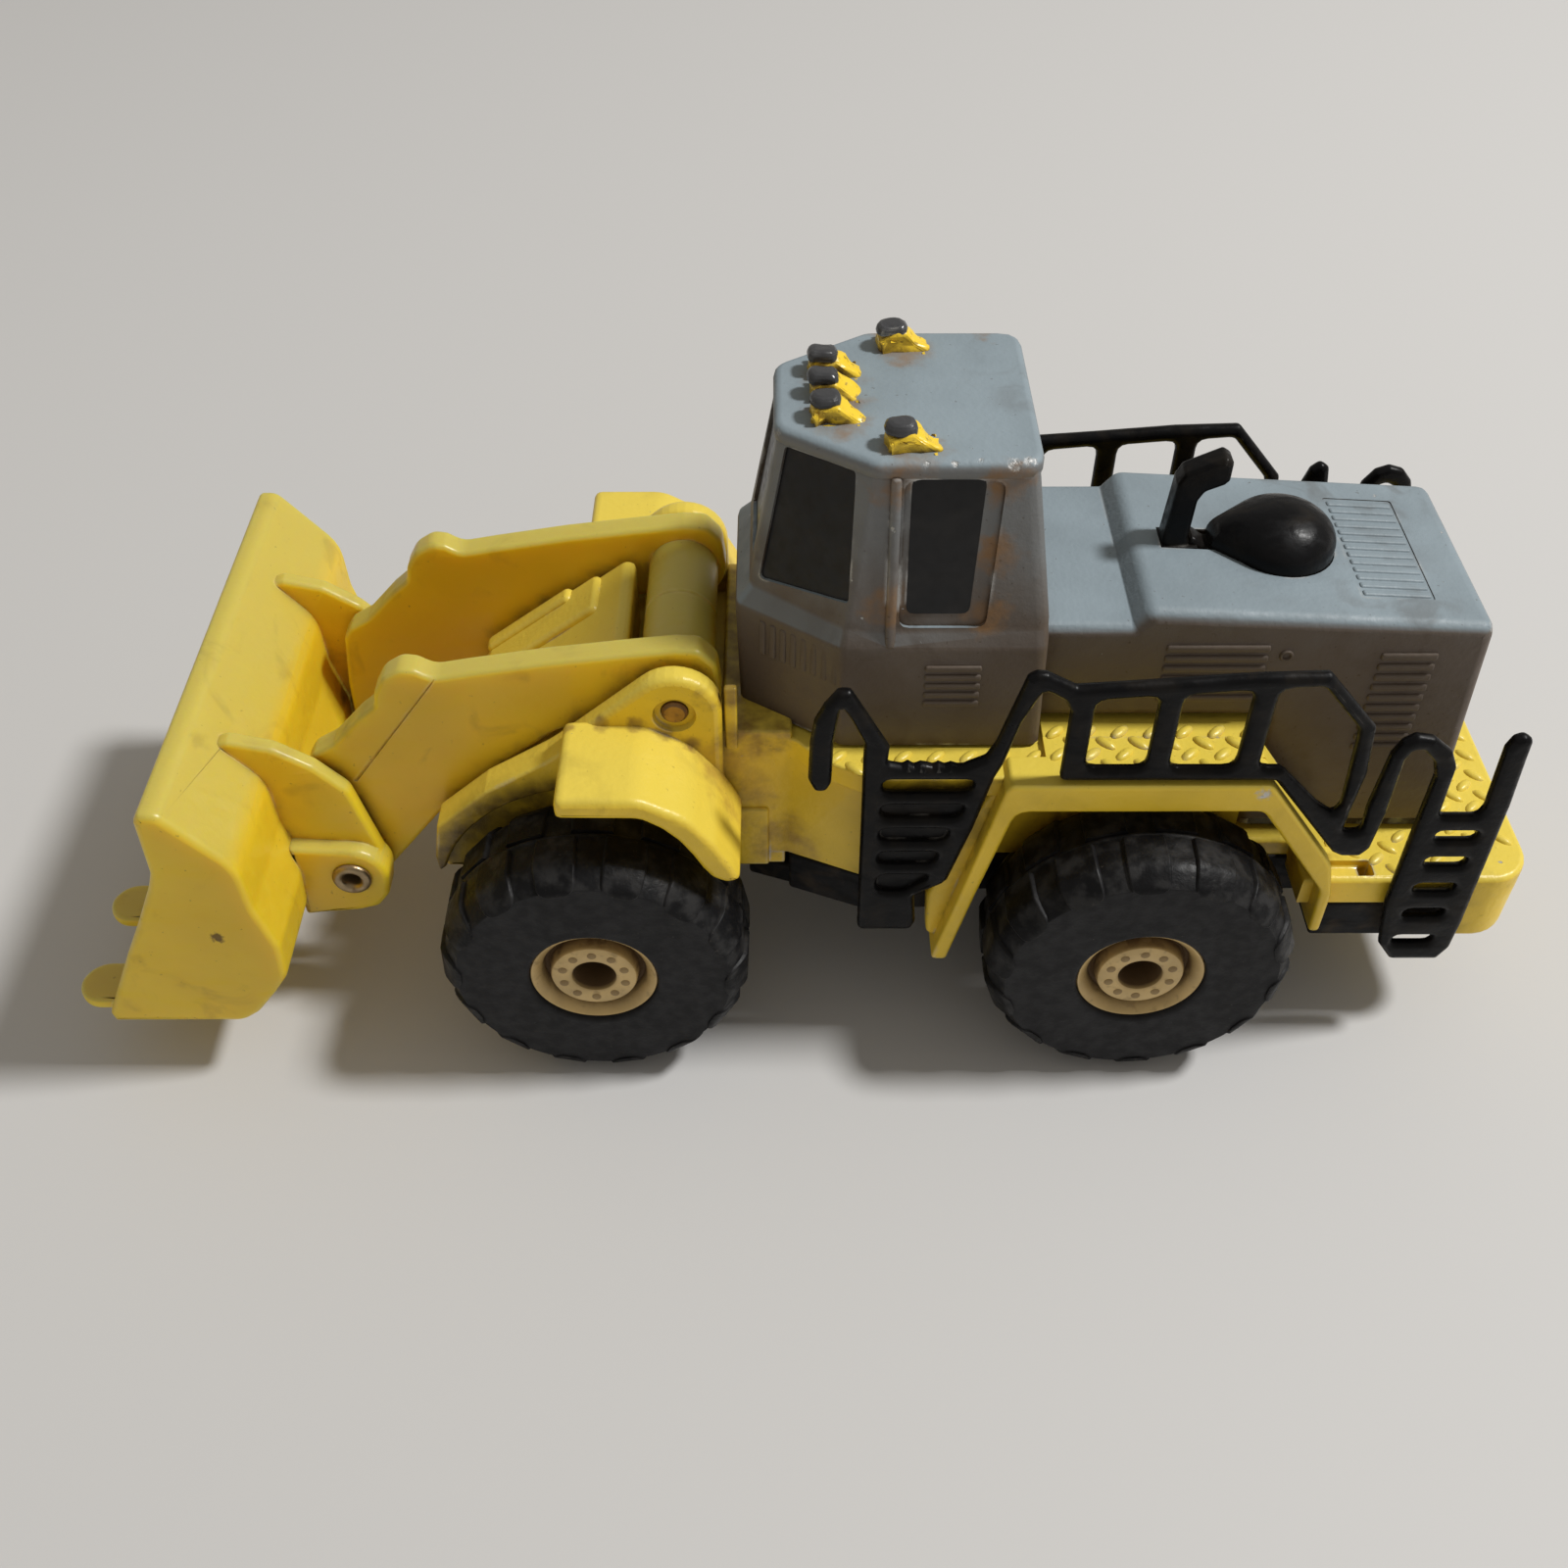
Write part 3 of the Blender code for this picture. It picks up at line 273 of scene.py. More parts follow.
def tidy(mesh):
    """Welds a mesh and turns its faces outward."""
    work = bmesh.new()
    work.from_mesh(mesh)
    bmesh.ops.remove_doubles(work, verts=work.verts, dist=0.0005 * MM)
    bmesh.ops.recalc_face_normals(work, faces=work.faces)
    work.to_mesh(mesh)
    work.free()
    return mesh


def outlined(loops, depth, rounding, steps=2):
    """Closed outlines in XY, filled, depth thick about Z = 0, with rounded rims."""
    curve = bpy.data.curves.new("outline", "CURVE")
    curve.dimensions = "2D"
    curve.fill_mode = "BOTH"
    curve.extrude = (depth / 2 - rounding) * MM
    curve.bevel_depth = rounding * MM
    curve.bevel_resolution = steps
    curve.offset = -rounding * MM
    for loop in loops:
        spline = curve.splines.new("POLY")
        spline.points.add(len(loop) - 1)
        spline.use_cyclic_u = True
        for point, (x, y) in zip(spline.points, loop):
            point.co = (x * MM, y * MM, 0, 1)
    drawn = bpy.data.objects.new("outline", curve)
    mesh = bpy.data.meshes.new_from_object(drawn)
    bpy.data.objects.remove(drawn)
    bpy.data.curves.remove(curve)
    return tidy(mesh)


def plate(outline, y_from, y_to, rounding=0.0, holes=()):
    """An XZ outline standing upright between two Y planes."""
    mesh = outlined([outline, *holes], abs(y_to - y_from), rounding)
    mesh.transform(place(0, (y_from + y_to) / 2, 0) @ Matrix.Rotation(math.pi / 2, 4, "X"))
    return mesh


def slab(outline, z_from, z_to, rounding=0.0):
    """An XY outline lying between two heights."""
    mesh = outlined([outline], z_to - z_from, rounding)
    mesh.transform(place(0, 0, (z_from + z_to) / 2))
    return mesh


def block(x, y, z, rounding=0.0):
    """A box between pairs of planes, its corners and rims rounded."""
    y = sorted(y)
    outline = soften(rect(*x, *y), rounding) if rounding else rect(*x, *y)
    return slab(outline, *z, rounding)


def turned(profile, centre, side=0, steps=64, closed=False):
    """A (radius, height) profile turned about Z, or about Y towards one side."""
    work = bmesh.new()
    rings = []
    for radius, height in profile:
        turns = [2 * math.pi * i / steps for i in range(steps if radius else 1)]
        rings.append([
            work.verts.new((radius * MM * math.cos(a), radius * MM * math.sin(a), height * MM))
            for a in turns
        ])
    pairs = list(zip(rings, rings[1:]))
    if closed:
        pairs.append((rings[-1], rings[0]))
    for low, high in pairs:
        for i in range(steps):
            j = i + 1
            corners = (low[i % len(low)], low[j % len(low)], high[j % len(high)], high[i % len(high)])
            work.faces.new(list(dict.fromkeys(corners)))
    bmesh.ops.recalc_face_normals(work, faces=work.faces)
    mesh = bpy.data.meshes.new("turned")
    work.to_mesh(mesh)
    work.free()
    lay = Matrix.Rotation(-side * math.pi / 2, 4, "X") if side else Matrix.Identity(4)
    mesh.transform(place(*centre) @ lay)
    return mesh


def drill(radius, y_from, y_to, x, z, s, steps=32):
    """A round cutter along Y on one side."""
    return turned([(0, y_from), (radius, y_from), (radius, y_to), (0, y_to)], (x, 0, z), s, steps)


def rod(radius, half, chamfer, x, z, steps):
    """A rod along Y through the centre plane, with chamfered ends."""
    end = [(radius, half - chamfer), (radius - chamfer, half), (0, half)]
    return turned([(r, -y) for r, y in reversed(end)] + end, (x, 0, z), 1, steps)


def skinned(name, points, count):
    """A closed mesh through rings of count points each, in metres, with a face at both ends."""
    faces = [tuple(range(count)), tuple(range(len(points) - count, len(points)))]
    for low in range(0, len(points) - count, count):
        for i in range(count):
            j = (i + 1) % count
            faces.append((low + i, low + j, low + count + j, low + count + i))
    mesh = bpy.data.meshes.new(name)
    mesh.from_pydata(points, [], faces)
    return tidy(mesh)


def loft(sections):
    """A closed skin through level outlines with equal numbers of points: (height, outline)."""
    points = [(x * MM, y * MM, z * MM) for z, outline in sections for x, y in outline]
    mesh = skinned("loft", points, len(sections[0][1]))
    mesh.transform(place(0, 0, 0))
    return mesh


def noted(mesh, name, values):
    """Keeps a number for each point of a mesh, for its finish to read."""
    mesh.attributes.new(name, "FLOAT", "POINT").data.foreach_set("value", values)
    return mesh


def lumpy(mesh, size, amount):
    """A mesh whose points are moved a little in or out, as under thick paint."""
    work = bmesh.new()
    work.from_mesh(mesh)
    bmesh.ops.subdivide_edges(work, edges=work.edges, cuts=2, use_grid_fill=True)
    work.normal_update()
    for vert in work.verts:
        vert.co += vert.normal * (noise.noise(vert.co / (size * MM)) - 0.5) * amount * MM
    work.to_mesh(mesh)
    work.free()
    return mesh


def holder(mesh):
    obj = bpy.data.objects.new("holder", mesh)
    bpy.context.scene.collection.objects.link(obj)
    return obj


def evaluated(obj):
    """The object's mesh with its modifiers applied."""
    graph = bpy.context.evaluated_depsgraph_get()
    return bpy.data.meshes.new_from_object(obj.evaluated_get(graph))


def is_closed(mesh):
    """Whether each edge of a mesh joins two faces, as joining and cutting need."""
    work = bmesh.new()
    work.from_mesh(mesh)
    whole = all(edge.is_manifold for edge in work.edges)
    work.free()
    return whole


def fused(shapes, cuts=(), within=()):
    """One closed mesh: the shapes joined, less the cuts, kept within the last shapes."""
    if not all(is_closed(mesh) for mesh in (*shapes, *cuts, *within)):
        raise RuntimeError("a shape of a piece isn't closed")
    base = holder(shapes[0])
    others = []
    steps = [(mesh, "UNION") for mesh in shapes[1:]] + [(mesh, "DIFFERENCE") for mesh in cuts]
    steps += [(mesh, "INTERSECT") for mesh in within]
    for mesh, operation in steps:
        others.append(holder(mesh))
        modifier = base.modifiers.new(operation.title(), "BOOLEAN")
        modifier.operation = operation
        modifier.solver = "MANIFOLD"
        modifier.object = others[-1]
    mesh = evaluated(base)
    for obj in (base, *others):
        bpy.data.objects.remove(obj)
    if not mesh.polygons:
        raise RuntimeError("joining the shapes of a piece left nothing")
    return tidy(mesh)


def joined(meshes):
    """Several meshes in one, left as separate shells."""
    objects = [holder(mesh) for mesh in meshes]
    with bpy.context.temp_override(active_object=objects[0], selected_editable_objects=objects):
        bpy.ops.object.join()
    mesh = objects[0].data
    bpy.data.objects.remove(objects[0])
    return mesh


def dressed(name, mesh, finish, body, slot, *nodes, crease=38):
    """Takes a mesh into the toy as a piece that rides a body and stands for nodes of the frame."""
    for polygon in mesh.polygons:
        polygon.use_smooth = True
    mesh.set_sharp_from_angle(angle=math.radians(crease))
    mesh.materials.clear()
    mesh.materials.append(finish)
    obj = holder(mesh)
    obj.name = name
    even = obj.modifiers.new("Even normals", "WEIGHTED_NORMAL")
    even.keep_sharp = True
    finished = evaluated(obj)
    obj.modifiers.clear()
    obj.data = finished
    finished.name = name
    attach(obj, body)
    if nodes:
        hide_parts(*nodes)


# Repeats made with geometry nodes

def put(tree, socket, value):
    """A link, a value or a colour put on a socket."""
    if isinstance(value, bpy.types.NodeSocket):
        tree.links.new(value, socket)
    else:
        socket.default_value = (*value[:3], 1) if socket.type == "RGBA" else value


def add_node(tree, kind, inputs=None, **settings):
    """A node with its settings, and with values or links put on its inputs."""
    node = tree.nodes.new(kind)
    for key, value in settings.items():
        setattr(node, key, value)
    for key, value in (inputs or {}).items():
        put(tree, node.inputs[key], value)
    return node


def new_tree(name, inputs):
    """An empty geometry tree with named inputs: its group input and a function that ends it."""
    tree = bpy.data.node_groups.new(name, "GeometryNodeTree")
    for label, kind in inputs:
        tree.interface.new_socket(label, in_out="INPUT", socket_type=f"NodeSocket{kind}")
    tree.interface.new_socket("Geometry", in_out="OUTPUT", socket_type="NodeSocketGeometry")
    source = tree.nodes.new("NodeGroupInput").outputs

    def end(instances):
        real = add_node(tree, "GeometryNodeRealizeInstances", {"Geometry": instances})
        painted = add_node(
            tree, "GeometryNodeSetMaterial", {"Geometry": real.outputs[0], "Material": source["Material"]}
        )
        result = tree.nodes.new("NodeGroupOutput")
        tree.links.new(painted.outputs[0], result.inputs[0])

    return tree, source, end


def math_node(tree, operation, first, second=0.0):
    return add_node(tree, "ShaderNodeMath", {0: first, 1: second}, operation=operation).outputs[0]


def ring_tree():
    """Copies of the object's own mesh turned about the Y axis."""
    tree, source, end = new_tree("Ring", [
        ("Geometry", "Geometry"), ("Count", "Int"), ("Material", "Material"),
    ])
    points = add_node(tree, "GeometryNodePoints", {"Count": source["Count"]})
    index = tree.nodes.new("GeometryNodeInputIndex").outputs[0]
    share = math_node(tree, "DIVIDE", index, source["Count"])
    turn = math_node(tree, "MULTIPLY", share, 2 * math.pi)
    spin = add_node(tree, "ShaderNodeCombineXYZ", {"Y": turn})
    copies = add_node(tree, "GeometryNodeInstanceOnPoints", {
        "Points": points.outputs[0], "Instance": source["Geometry"], "Rotation": spin.outputs[0],
    })
    end(copies.outputs[0])
    return tree


def row_tree():
    """Copies of the object's own mesh in a straight row."""
    tree, source, end = new_tree("Row", [
        ("Geometry", "Geometry"), ("Count", "Int"), ("Offset", "Vector"), ("Material", "Material"),
    ])
    line = add_node(tree, "GeometryNodeMeshLine", {"Count": source["Count"], "Offset": source["Offset"]})
    copies = add_node(tree, "GeometryNodeInstanceOnPoints", {
        "Points": line.outputs[0], "Instance": source["Geometry"],
    })
    end(copies.outputs[0])
    return tree


def stud_tree():
    """Staggered rows of lens-shaped studs, turned one way and the other by turns, as on tread plate."""
    tree, source, end = new_tree("Tread plate", [
        ("Long", "Float"), ("Wide", "Float"), ("Pitch", "Float"), ("Stud", "Vector"),
        ("Material", "Material"),
    ])
    counts = []
    sizes = []
    step = math_node(tree, "MULTIPLY", source["Pitch"], 0.5)
    for label in ("Long", "Wide"):
        whole = math_node(tree, "FLOOR", math_node(tree, "DIVIDE", source[label], step))
        counts.append(math_node(tree, "ADD", whole, 1.0))
        sizes.append(math_node(tree, "MULTIPLY", whole, step))
    grid = add_node(tree, "GeometryNodeMeshGrid", {
        "Size X": sizes[0], "Size Y": sizes[1], "Vertices X": counts[0], "Vertices Y": counts[1],
    })
    place_xyz = tree.nodes.new("GeometryNodeInputPosition").outputs[0]
    parts = add_node(tree, "ShaderNodeSeparateXYZ", {0: place_xyz}).outputs
    steps = []
    for part, size in zip(parts, sizes):
        from_edge = math_node(tree, "ADD", part, math_node(tree, "MULTIPLY", size, 0.5))
        steps.append(math_node(tree, "ROUND", math_node(tree, "DIVIDE", from_edge, step)))
    chosen = math_node(tree, "MODULO", math_node(tree, "ADD", *steps), 2.0)
    lean = math_node(tree, "MODULO", steps[1], 2.0)
    turn = math_node(tree, "MULTIPLY", math_node(tree, "SUBTRACT", lean, 0.5), math.pi / 2)
    spin = add_node(tree, "ShaderNodeCombineXYZ", {"Z": turn})
    lens = add_node(tree, "GeometryNodeMeshUVSphere", {"Segments": 12, "Rings": 6, "Radius": 1.0})
    copies = add_node(tree, "GeometryNodeInstanceOnPoints", {
        "Points": grid.outputs[0], "Selection": chosen, "Instance": lens.outputs[0],
        "Rotation": spin.outputs[0], "Scale": source["Stud"],
    })
    end(copies.outputs[0])
    return tree


def grown(tree, mesh, **inputs):
    """The mesh that a geometry tree makes from an object's mesh and named inputs."""
    obj = holder(mesh)
    modifier = obj.modifiers.new(tree.name, "NODES")
    modifier.node_group = tree
    names = {item.name: item.identifier for item in tree.interface.items_tree if item.in_out == "INPUT"}
    for label, value in inputs.items():
        modifier[names[label]] = value
    result = evaluated(obj)
    obj.modifiers.clear()
    bpy.data.objects.remove(obj)
    return result


TREES = {}


def tree_for(maker):
    """Each tree is made once, the first time that it is needed."""
    if maker.__name__ not in TREES:
        TREES[maker.__name__] = maker()
    return TREES[maker.__name__]


# Finishes

class Finish:
    """A material, with the few kinds of node that the finishes here are made of."""

    def __init__(self, name):
        self.material = bpy.data.materials.new(name)
        self.material.use_nodes = True
        self.tree = self.material.node_tree
        self.colours = bpy.context.scene.loader_colours
        self.coords = self.node("ShaderNodeTexCoord").outputs

    def node(self, kind, inputs=None, **settings):
        return add_node(self.tree, kind, inputs, **settings)

    def chain(self, operation, first, *others):
        """One value worked out from several, from left to right."""
        for other in others:
            first = math_node(self.tree, operation, first, other)
        return first

    def times(self, *values):
        return self.chain("MULTIPLY", *values)

    def plus(self, *values):
        return self.chain("ADD", *values)

    def less(self, first, second):
        return self.chain("SUBTRACT", first, second)

    def most(self, *values):
        return self.chain("MAXIMUM", *values)

    def least(self, *values):
        return self.chain("MINIMUM", *values)

    def step(self, value, low, high, to=1.0):
        """0 below low, to above high, smooth between."""
        return self.node("ShaderNodeMapRange", {
            "Value": value, "From Min": low, "From Max": high, "To Min": 0.0, "To Max": to,
        }, interpolation_type="SMOOTHSTEP").outputs[0]

    def noise(self, size, detail, stretch=(1, 1, 1), bend=0.0):
        """Noise whose blotches are about size millimetres wide, stretched along the axes."""
        scaled = self.node("ShaderNodeMapping", {
            "Vector": self.coords["Object"], "Scale": [1 / (size * MM * s) for s in stretch],
        })
        return self.node("ShaderNodeTexNoise", {
            "Vector": scaled.outputs[0], "Scale": 1.0, "Detail": detail, "Distortion": bend,
        }).outputs[0]

    def blots(self, size, detail, low, high, to=1.0, **shape):
        """Blotches of noise: 0 where it is below low, to where it is above high."""
        return self.step(self.noise(size, detail, **shape), low, high, to)

    def mix(self, factor, first, second):
        ends = {"Factor": factor, 6: first, 7: second}
        return self.node("ShaderNodeMix", ends, data_type="RGBA").outputs[2]

    def uneven(self, base, size, detail, dark, pale):
        """A colour that wanders between a darker and a paler shade."""
        return self.mix(self.blots(size, detail, 0.3, 0.7), tinted(base, dark), tinted(base, pale))

    def attribute(self, name):
        return self.node("ShaderNodeAttribute", attribute_name=name).outputs["Fac"]

    def upward(self, kind):
        """The Z part of the normal or of the place on the toy."""
        return self.node("ShaderNodeSeparateXYZ", {0: self.coords[kind]}).outputs[2]

    def corners(self, reach, low, high):
        """1 deep in a corner, 0 in the open, looking reach millimetres round."""
        seen = self.node("ShaderNodeAmbientOcclusion", {"Distance": reach * MM}, samples=6).outputs["AO"]
        return self.step(self.less(1.0, seen), low, high)

    def edges(self, reach):
        """1 on an outer edge, 0 on a flat face."""
        soft = self.node("ShaderNodeBevel", {"Radius": reach * MM}, samples=4).outputs[0]
        normal = self.node("ShaderNodeNewGeometry").outputs["Normal"]
        along = self.node("ShaderNodeVectorMath", {0: soft, 1: normal}, operation="DOT_PRODUCT")
        return self.step(along.outputs["Value"], 0.985, 0.90)

    def tops(self):
        """1 on faces that look up, 0 on upright faces and below."""
        return self.step(self.upward("Normal"), 0.1, 0.75)

    def sides(self):
        """Handling dirt and painted shade on upright faces: 1 low down, less towards the roof, 0 on top
        faces.
        """
        upright = self.step(self.upward("Normal"), 0.75, 0.25)
        ragged = self.plus(self.upward("Object"), self.times(self.noise(5, 4), 12 * MM))
        return self.times(upright, self.plus(0.6, self.step(ragged, 62 * MM, 48 * MM, 0.4)))

    def near(self, places, reach, ragged=1.6):
        """1 at any of these places on the toy, 0 from reach millimetres away, with a ragged rim."""
        gaps = []
        for x, y, z in places:
            ends = {0: self.coords["Object"], 1: place(x, y, z).translation}
            gaps.append(self.node("ShaderNodeVectorMath", ends, operation="DISTANCE").outputs["Value"])
        rag = self.times(self.less(self.noise(reach * 0.5, 4), 0.5), ragged * reach * MM)
        return self.step(self.plus(self.least(*gaps), rag), reach * MM, 0.3 * reach * MM)

    def finish(self, colour, roughness, metallic, height, depth, more=None):
        """Puts the layers on the shader's sockets."""
        bump = self.node("ShaderNodeBump", {"Height": height, "Strength": 1.0, "Distance": depth * MM})
        layers = {
            "Base Color": colour, "Roughness": roughness, "Metallic": metallic, "Normal": bump.outputs[0],
        }
        shader = self.tree.nodes["Principled BSDF"]
        for name, value in {**layers, **(more or {})}.items():
            put(self.tree, shader.inputs[name], value)
        return self.material


def tinted(base, amount):
    """A colour made lighter or darker by a factor."""
    return tuple(min(1.0, value * amount) for value in base)


def enamel(name, base, dirt, chips, roughness, side_dirt_and_shade_share=0.0, stains_and_shade=(), knocks=(), tops_dust_and_light=None):
    """Worn paint: uneven colour, grime and painted shade in corners and at stains, paler tops and darker
    upright faces that are partly painted light and shade, specks, edges and knocks worn to metal.
    """
    f = Finish(name)
    grime_and_shade = f.colours.grime_and_shade
    skin = f.uneven(base, 11, 3, 0.88, 1.08)
    # Dust and painted light: faces that look up turn a paler colour, as where the light falls on them.
    if tops_dust_and_light:
        skin = f.mix(f.tops(), skin, tops_dust_and_light)
    # Dirt and painted shade: upright faces darken towards the grime colour, as on sides that the light
    # reaches less.
    if side_dirt_and_shade_share:
        skin = f.mix(f.times(f.sides(), side_dirt_and_shade_share), skin, tinted(grime_and_shade, 0.9))
    blots = f.blots(3.2, 5, 0.46, 0.68, bend=0.6)
    # Corner soil: grime, and painted shade in corners, gaps and at the feet of upright parts, less on top
    # faces.
    settled = f.times(f.corners(2.2, 0.12, 0.7), f.plus(0.55, blots), f.less(1.0, f.times(f.tops(), 0.75)))
    film = f.times(blots, f.blots(14, 2, 0.42, 0.7, 0.45))
    # Stains, and painted shade where an entry stands for it, as under the front arches and on the neck.
    for reach, ragged, amount, stain_and_shade_colour, places in stains_and_shade:
        blotchy_share = f.blots(1.9, 5, 0.3 * ragged - 0.3, 0.75, amount)
        skin = f.mix(f.times(f.near(places, reach, ragged), blotchy_share), skin, stain_and_shade_colour)
    specks = f.blots(0.5, 2, 0.70, 0.76, 0.55 * dirt)
    soil = f.least(f.most(f.times(f.plus(settled, film), dirt), specks), 0.92)
    # Soil darkens towards half the grime colour: dirt and painted shade.
    skin = f.mix(soil, skin, tinted(grime_and_shade, 0.5))
    worn = f.times(f.edges(0.45), f.blots(4.5, 4, 0.60 - 0.18 * chips, 0.72 - 0.18 * chips))
    nicks = f.blots(1.1, 5, 0.74 - 0.02 * chips, 0.77 - 0.02 * chips)
    bare = f.most(worn, f.times(nicks, 0.8))
    for reach, places in knocks:
        bare = f.most(bare, f.times(f.near(places, reach), f.blots(0.6, 4, 0.36, 0.6)))
    skin = f.mix(bare, skin, f.colours.metal)
    rough = f.plus(roughness, f.times(soil, 0.35), f.blots(1.6, 4, 0.35, 0.75, 0.12))
    peel = f.plus(f.noise(0.55, 3), f.times(bare, -1.5))
    return f.finish(skin, rough, f.times(bare, 0.75), peel, 0.05)


def moulding(name, base, roughness, glow, scuffs_at):
    """Soft yellow plastic: slightly see-through, dusty in its corners, finely scuffed."""
    f = Finish(name)
    # Top faces take another, paler colour: dust, and painted light where the light falls on them.
    skin = f.mix(f.tops(), f.uneven(base, 13, 3, 0.93, 1.06), (0.57, 0.47, 0.09))
    blots = f.blots(2.4, 5, 0.40, 0.68, bend=0.4)
    soil = f.times(f.corners(2.6, 0.25, 0.85), f.plus(0.35, f.times(blots, 0.6)))
    specks = f.blots(0.55, 2, 0.72, 0.77, 0.35)
    film = f.blots(5.0, 5, 0.56, 0.74, 0.22, bend=0.7)
    soil = f.plus(soil, f.most(specks, film))
    soil = f.least(f.most(soil, f.near(scuffs_at, 0.8)), 0.85)
    skin = f.mix(soil, skin, f.colours.grime_and_shade)
    # Painted glow: edges turn paler in blotches, as light glows through the thin plastic there.
    pale = f.times(f.edges(0.5), f.blots(3.0, 4, 0.42, 0.65, 0.55))
    skin = f.mix(pale, skin, (0.86, 0.76, 0.40))
    scuffs = f.blots(1.2, 4, 0.45, 0.75, 0.22, stretch=(4, 1, 1))
    rough = f.plus(roughness, scuffs, f.times(soil, 0.3))
    return f.finish(skin, rough, 0.0, f.noise(0.8, 4), 0.03, {
        "Subsurface Weight": glow, "Subsurface Scale": 1.0,
        "Subsurface Radius": (4.5 * MM, 2.8 * MM, 0.4 * MM),
    })


def dark_plastic(name, base, roughness, dust, scuffs_and_sheen):
    """Black plastic: glossy, with dust in its corners and pale scuffs on its edges that are partly painted
    highlights.
    """
    f = Finish(name)
    spread = f.times(f.blots(2.6, 5, 0.45, 0.75, bend=0.5), dust)
    settled = f.plus(spread, f.times(f.corners(1.8, 0.3, 0.9), dust * 1.3))
    skin = f.mix(settled, f.uneven(base, 9, 3, 0.8, 1.35), (0.20, 0.145, 0.085))
    # Pale edges: scuffs, and painted highlights where the edges catch the light.
    rubbed_and_sheen = f.times(f.edges(0.35), f.blots(2.0, 4, 0.5, 0.68, scuffs_and_sheen))
    skin = f.mix(rubbed_and_sheen, skin, (0.26, 0.25, 0.23))
    marks = f.blots(0.9, 4, 0.4, 0.72, 0.25, stretch=(3, 1, 1))
    rough = f.plus(roughness, marks, f.times(settled, 0.6))
    return f.finish(skin, rough, 0.0, f.noise(0.7, 4), 0.04, {"Specular IOR Level": 0.13})


def rubber(name, base):
    """Tyre rubber: dull on the walls, polished and greyed on the lugs, dusty in the grooves."""
    f = Finish(name)
    worn = f.attribute("worn")
    skin = f.mix(f.times(worn, 0.75), f.uneven(base, 6, 4, 0.85, 1.2), tinted(base, 0.3))
    dust = f.times(f.corners(1.6, 0.2, 0.8), f.blots(2.0, 4, 0.35, 0.7, 0.3))
    skin = f.mix(dust, skin, (0.05, 0.042, 0.034))
    polish = f.times(worn, f.blots(1.7, 5, 0.42, 0.66), 0.25)
    skin = f.mix(polish, skin, (0.085, 0.083, 0.082))
    skin = f.mix(f.blots(0.45, 3, 0.69, 0.75, 0.5), skin, (0.07, 0.062, 0.055))
    rough = f.plus(0.60, f.times(worn, -0.24), f.blots(1.2, 4, 0.3, 0.7, 0.16))
    gloss = f.less(0.32, f.times(worn, 0.17))
    return f.finish(skin, rough, 0.0, f.noise(0.6, 4), 0.06, {"Specular IOR Level": gloss})


def hub_plastic(name, base):
    """Tan hub plastic with dirt packed in its groove and bore."""
    f = Finish(name)
    blots = f.blots(1.4, 5, 0.40, 0.66, bend=0.5)
    soil = f.times(f.corners(2.6, 0.22, 0.8), f.plus(0.6, f.times(blots, 0.4)))
    film = f.blots(1.0, 4, 0.55, 0.72, 0.35)
    soil = f.least(f.most(soil, film, f.attribute("packed")), 0.95)
    skin = f.mix(soil, f.uneven(base, 3.5, 4, 0.85, 1.1), f.colours.grime_and_shade)
    return f.finish(skin, f.plus(0.36, f.times(soil, 0.4)), 0.0, f.noise(0.5, 3), 0.04)


def bare_metal(name, base, roughness):
    """Plain metal, dulled and dirty in its corners."""
    f = Finish(name)
    soil = f.most(f.times(f.corners(1.5, 0.25, 0.8), 0.8), f.blots(0.8, 4, 0.56, 0.72, 0.5))
    skin = f.mix(soil, f.uneven(base, 1.8, 4, 0.7, 1.15), f.colours.grime_and_shade)
    shine = f.less(0.95, f.times(soil, 0.8))
    return f.finish(skin, f.plus(roughness, f.times(soil, 0.35)), shine, f.noise(0.4, 4), 0.03)


def glazing(name):
    """Near-black window plastic with a dusty film and fine scratches."""
    f = Finish(name)
    film = f.blots(3.0, 5, 0.42, 0.75, 0.06, bend=0.4)
    skin = f.mix(film, (0.008, 0.008, 0.009), (0.12, 0.10, 0.08))
    rough = f.plus(0.30, f.blots(1.0, 4, 0.35, 0.75, 0.22))
    return f.finish(skin, rough, 0.0, f.noise(1.5, 2), 0.02, {"Specular IOR Level": 0.3})


def lamp_paint(name, yellow):
    """Thick yellow paint on the lamps, brown towards the roof."""
    f = Finish(name)
    soil = f.times(f.corners(2.0, 0.12, 0.6), f.blots(1.0, 4, 0.3, 0.6))
    soil = f.most(soil, f.blots(0.6, 3, 0.58, 0.68, 0.6))
    skin = f.mix(soil, yellow, f.colours.grime_and_shade)
    return f.finish(skin, f.plus(0.3, f.times(soil, 0.35)), 0.0, f.noise(0.5, 3), 0.05)


def mirrored(places):
    """Places on the right side, and the same on the left."""
    return [(x, s * y, z) for s in SIDES.values() for x, y, z in places]


# Places of stains, knocks and nicks that the photographed toy shows, and of painted shade
LAMP_PLACES = [(19.2, n * 3.5) for n in (-1, 0, 1)] + [(25.1, s * 7.6) for s in SIDES.values()]
LAMP_FEET = [(x + 2.5, y - 1.2, ROOF_TOP) for x, y in LAMP_PLACES]
YELLOW_STAINS = mirrored([(12.2, 12.6, 30.0), (13.0, 12.4, 24.0), (17.6, 12.4, 20.5)])
JOINT_STAINS = mirrored([
    (-1.5, 13.3, 35.9), (1.5, 13.3, 36.0), (4.5, 13.3, 35.9), (7.0, 13.3, 35.0), (9.3, 13.3, 33.6),
])
# Painted shade on the underside of the front arches, a smooth dark gradient.
ARCH_SHADE = mirrored([(x, 15.2, z) for x, z in arc((0, AXLE_Z), 14.2, 95, 168, 12)])
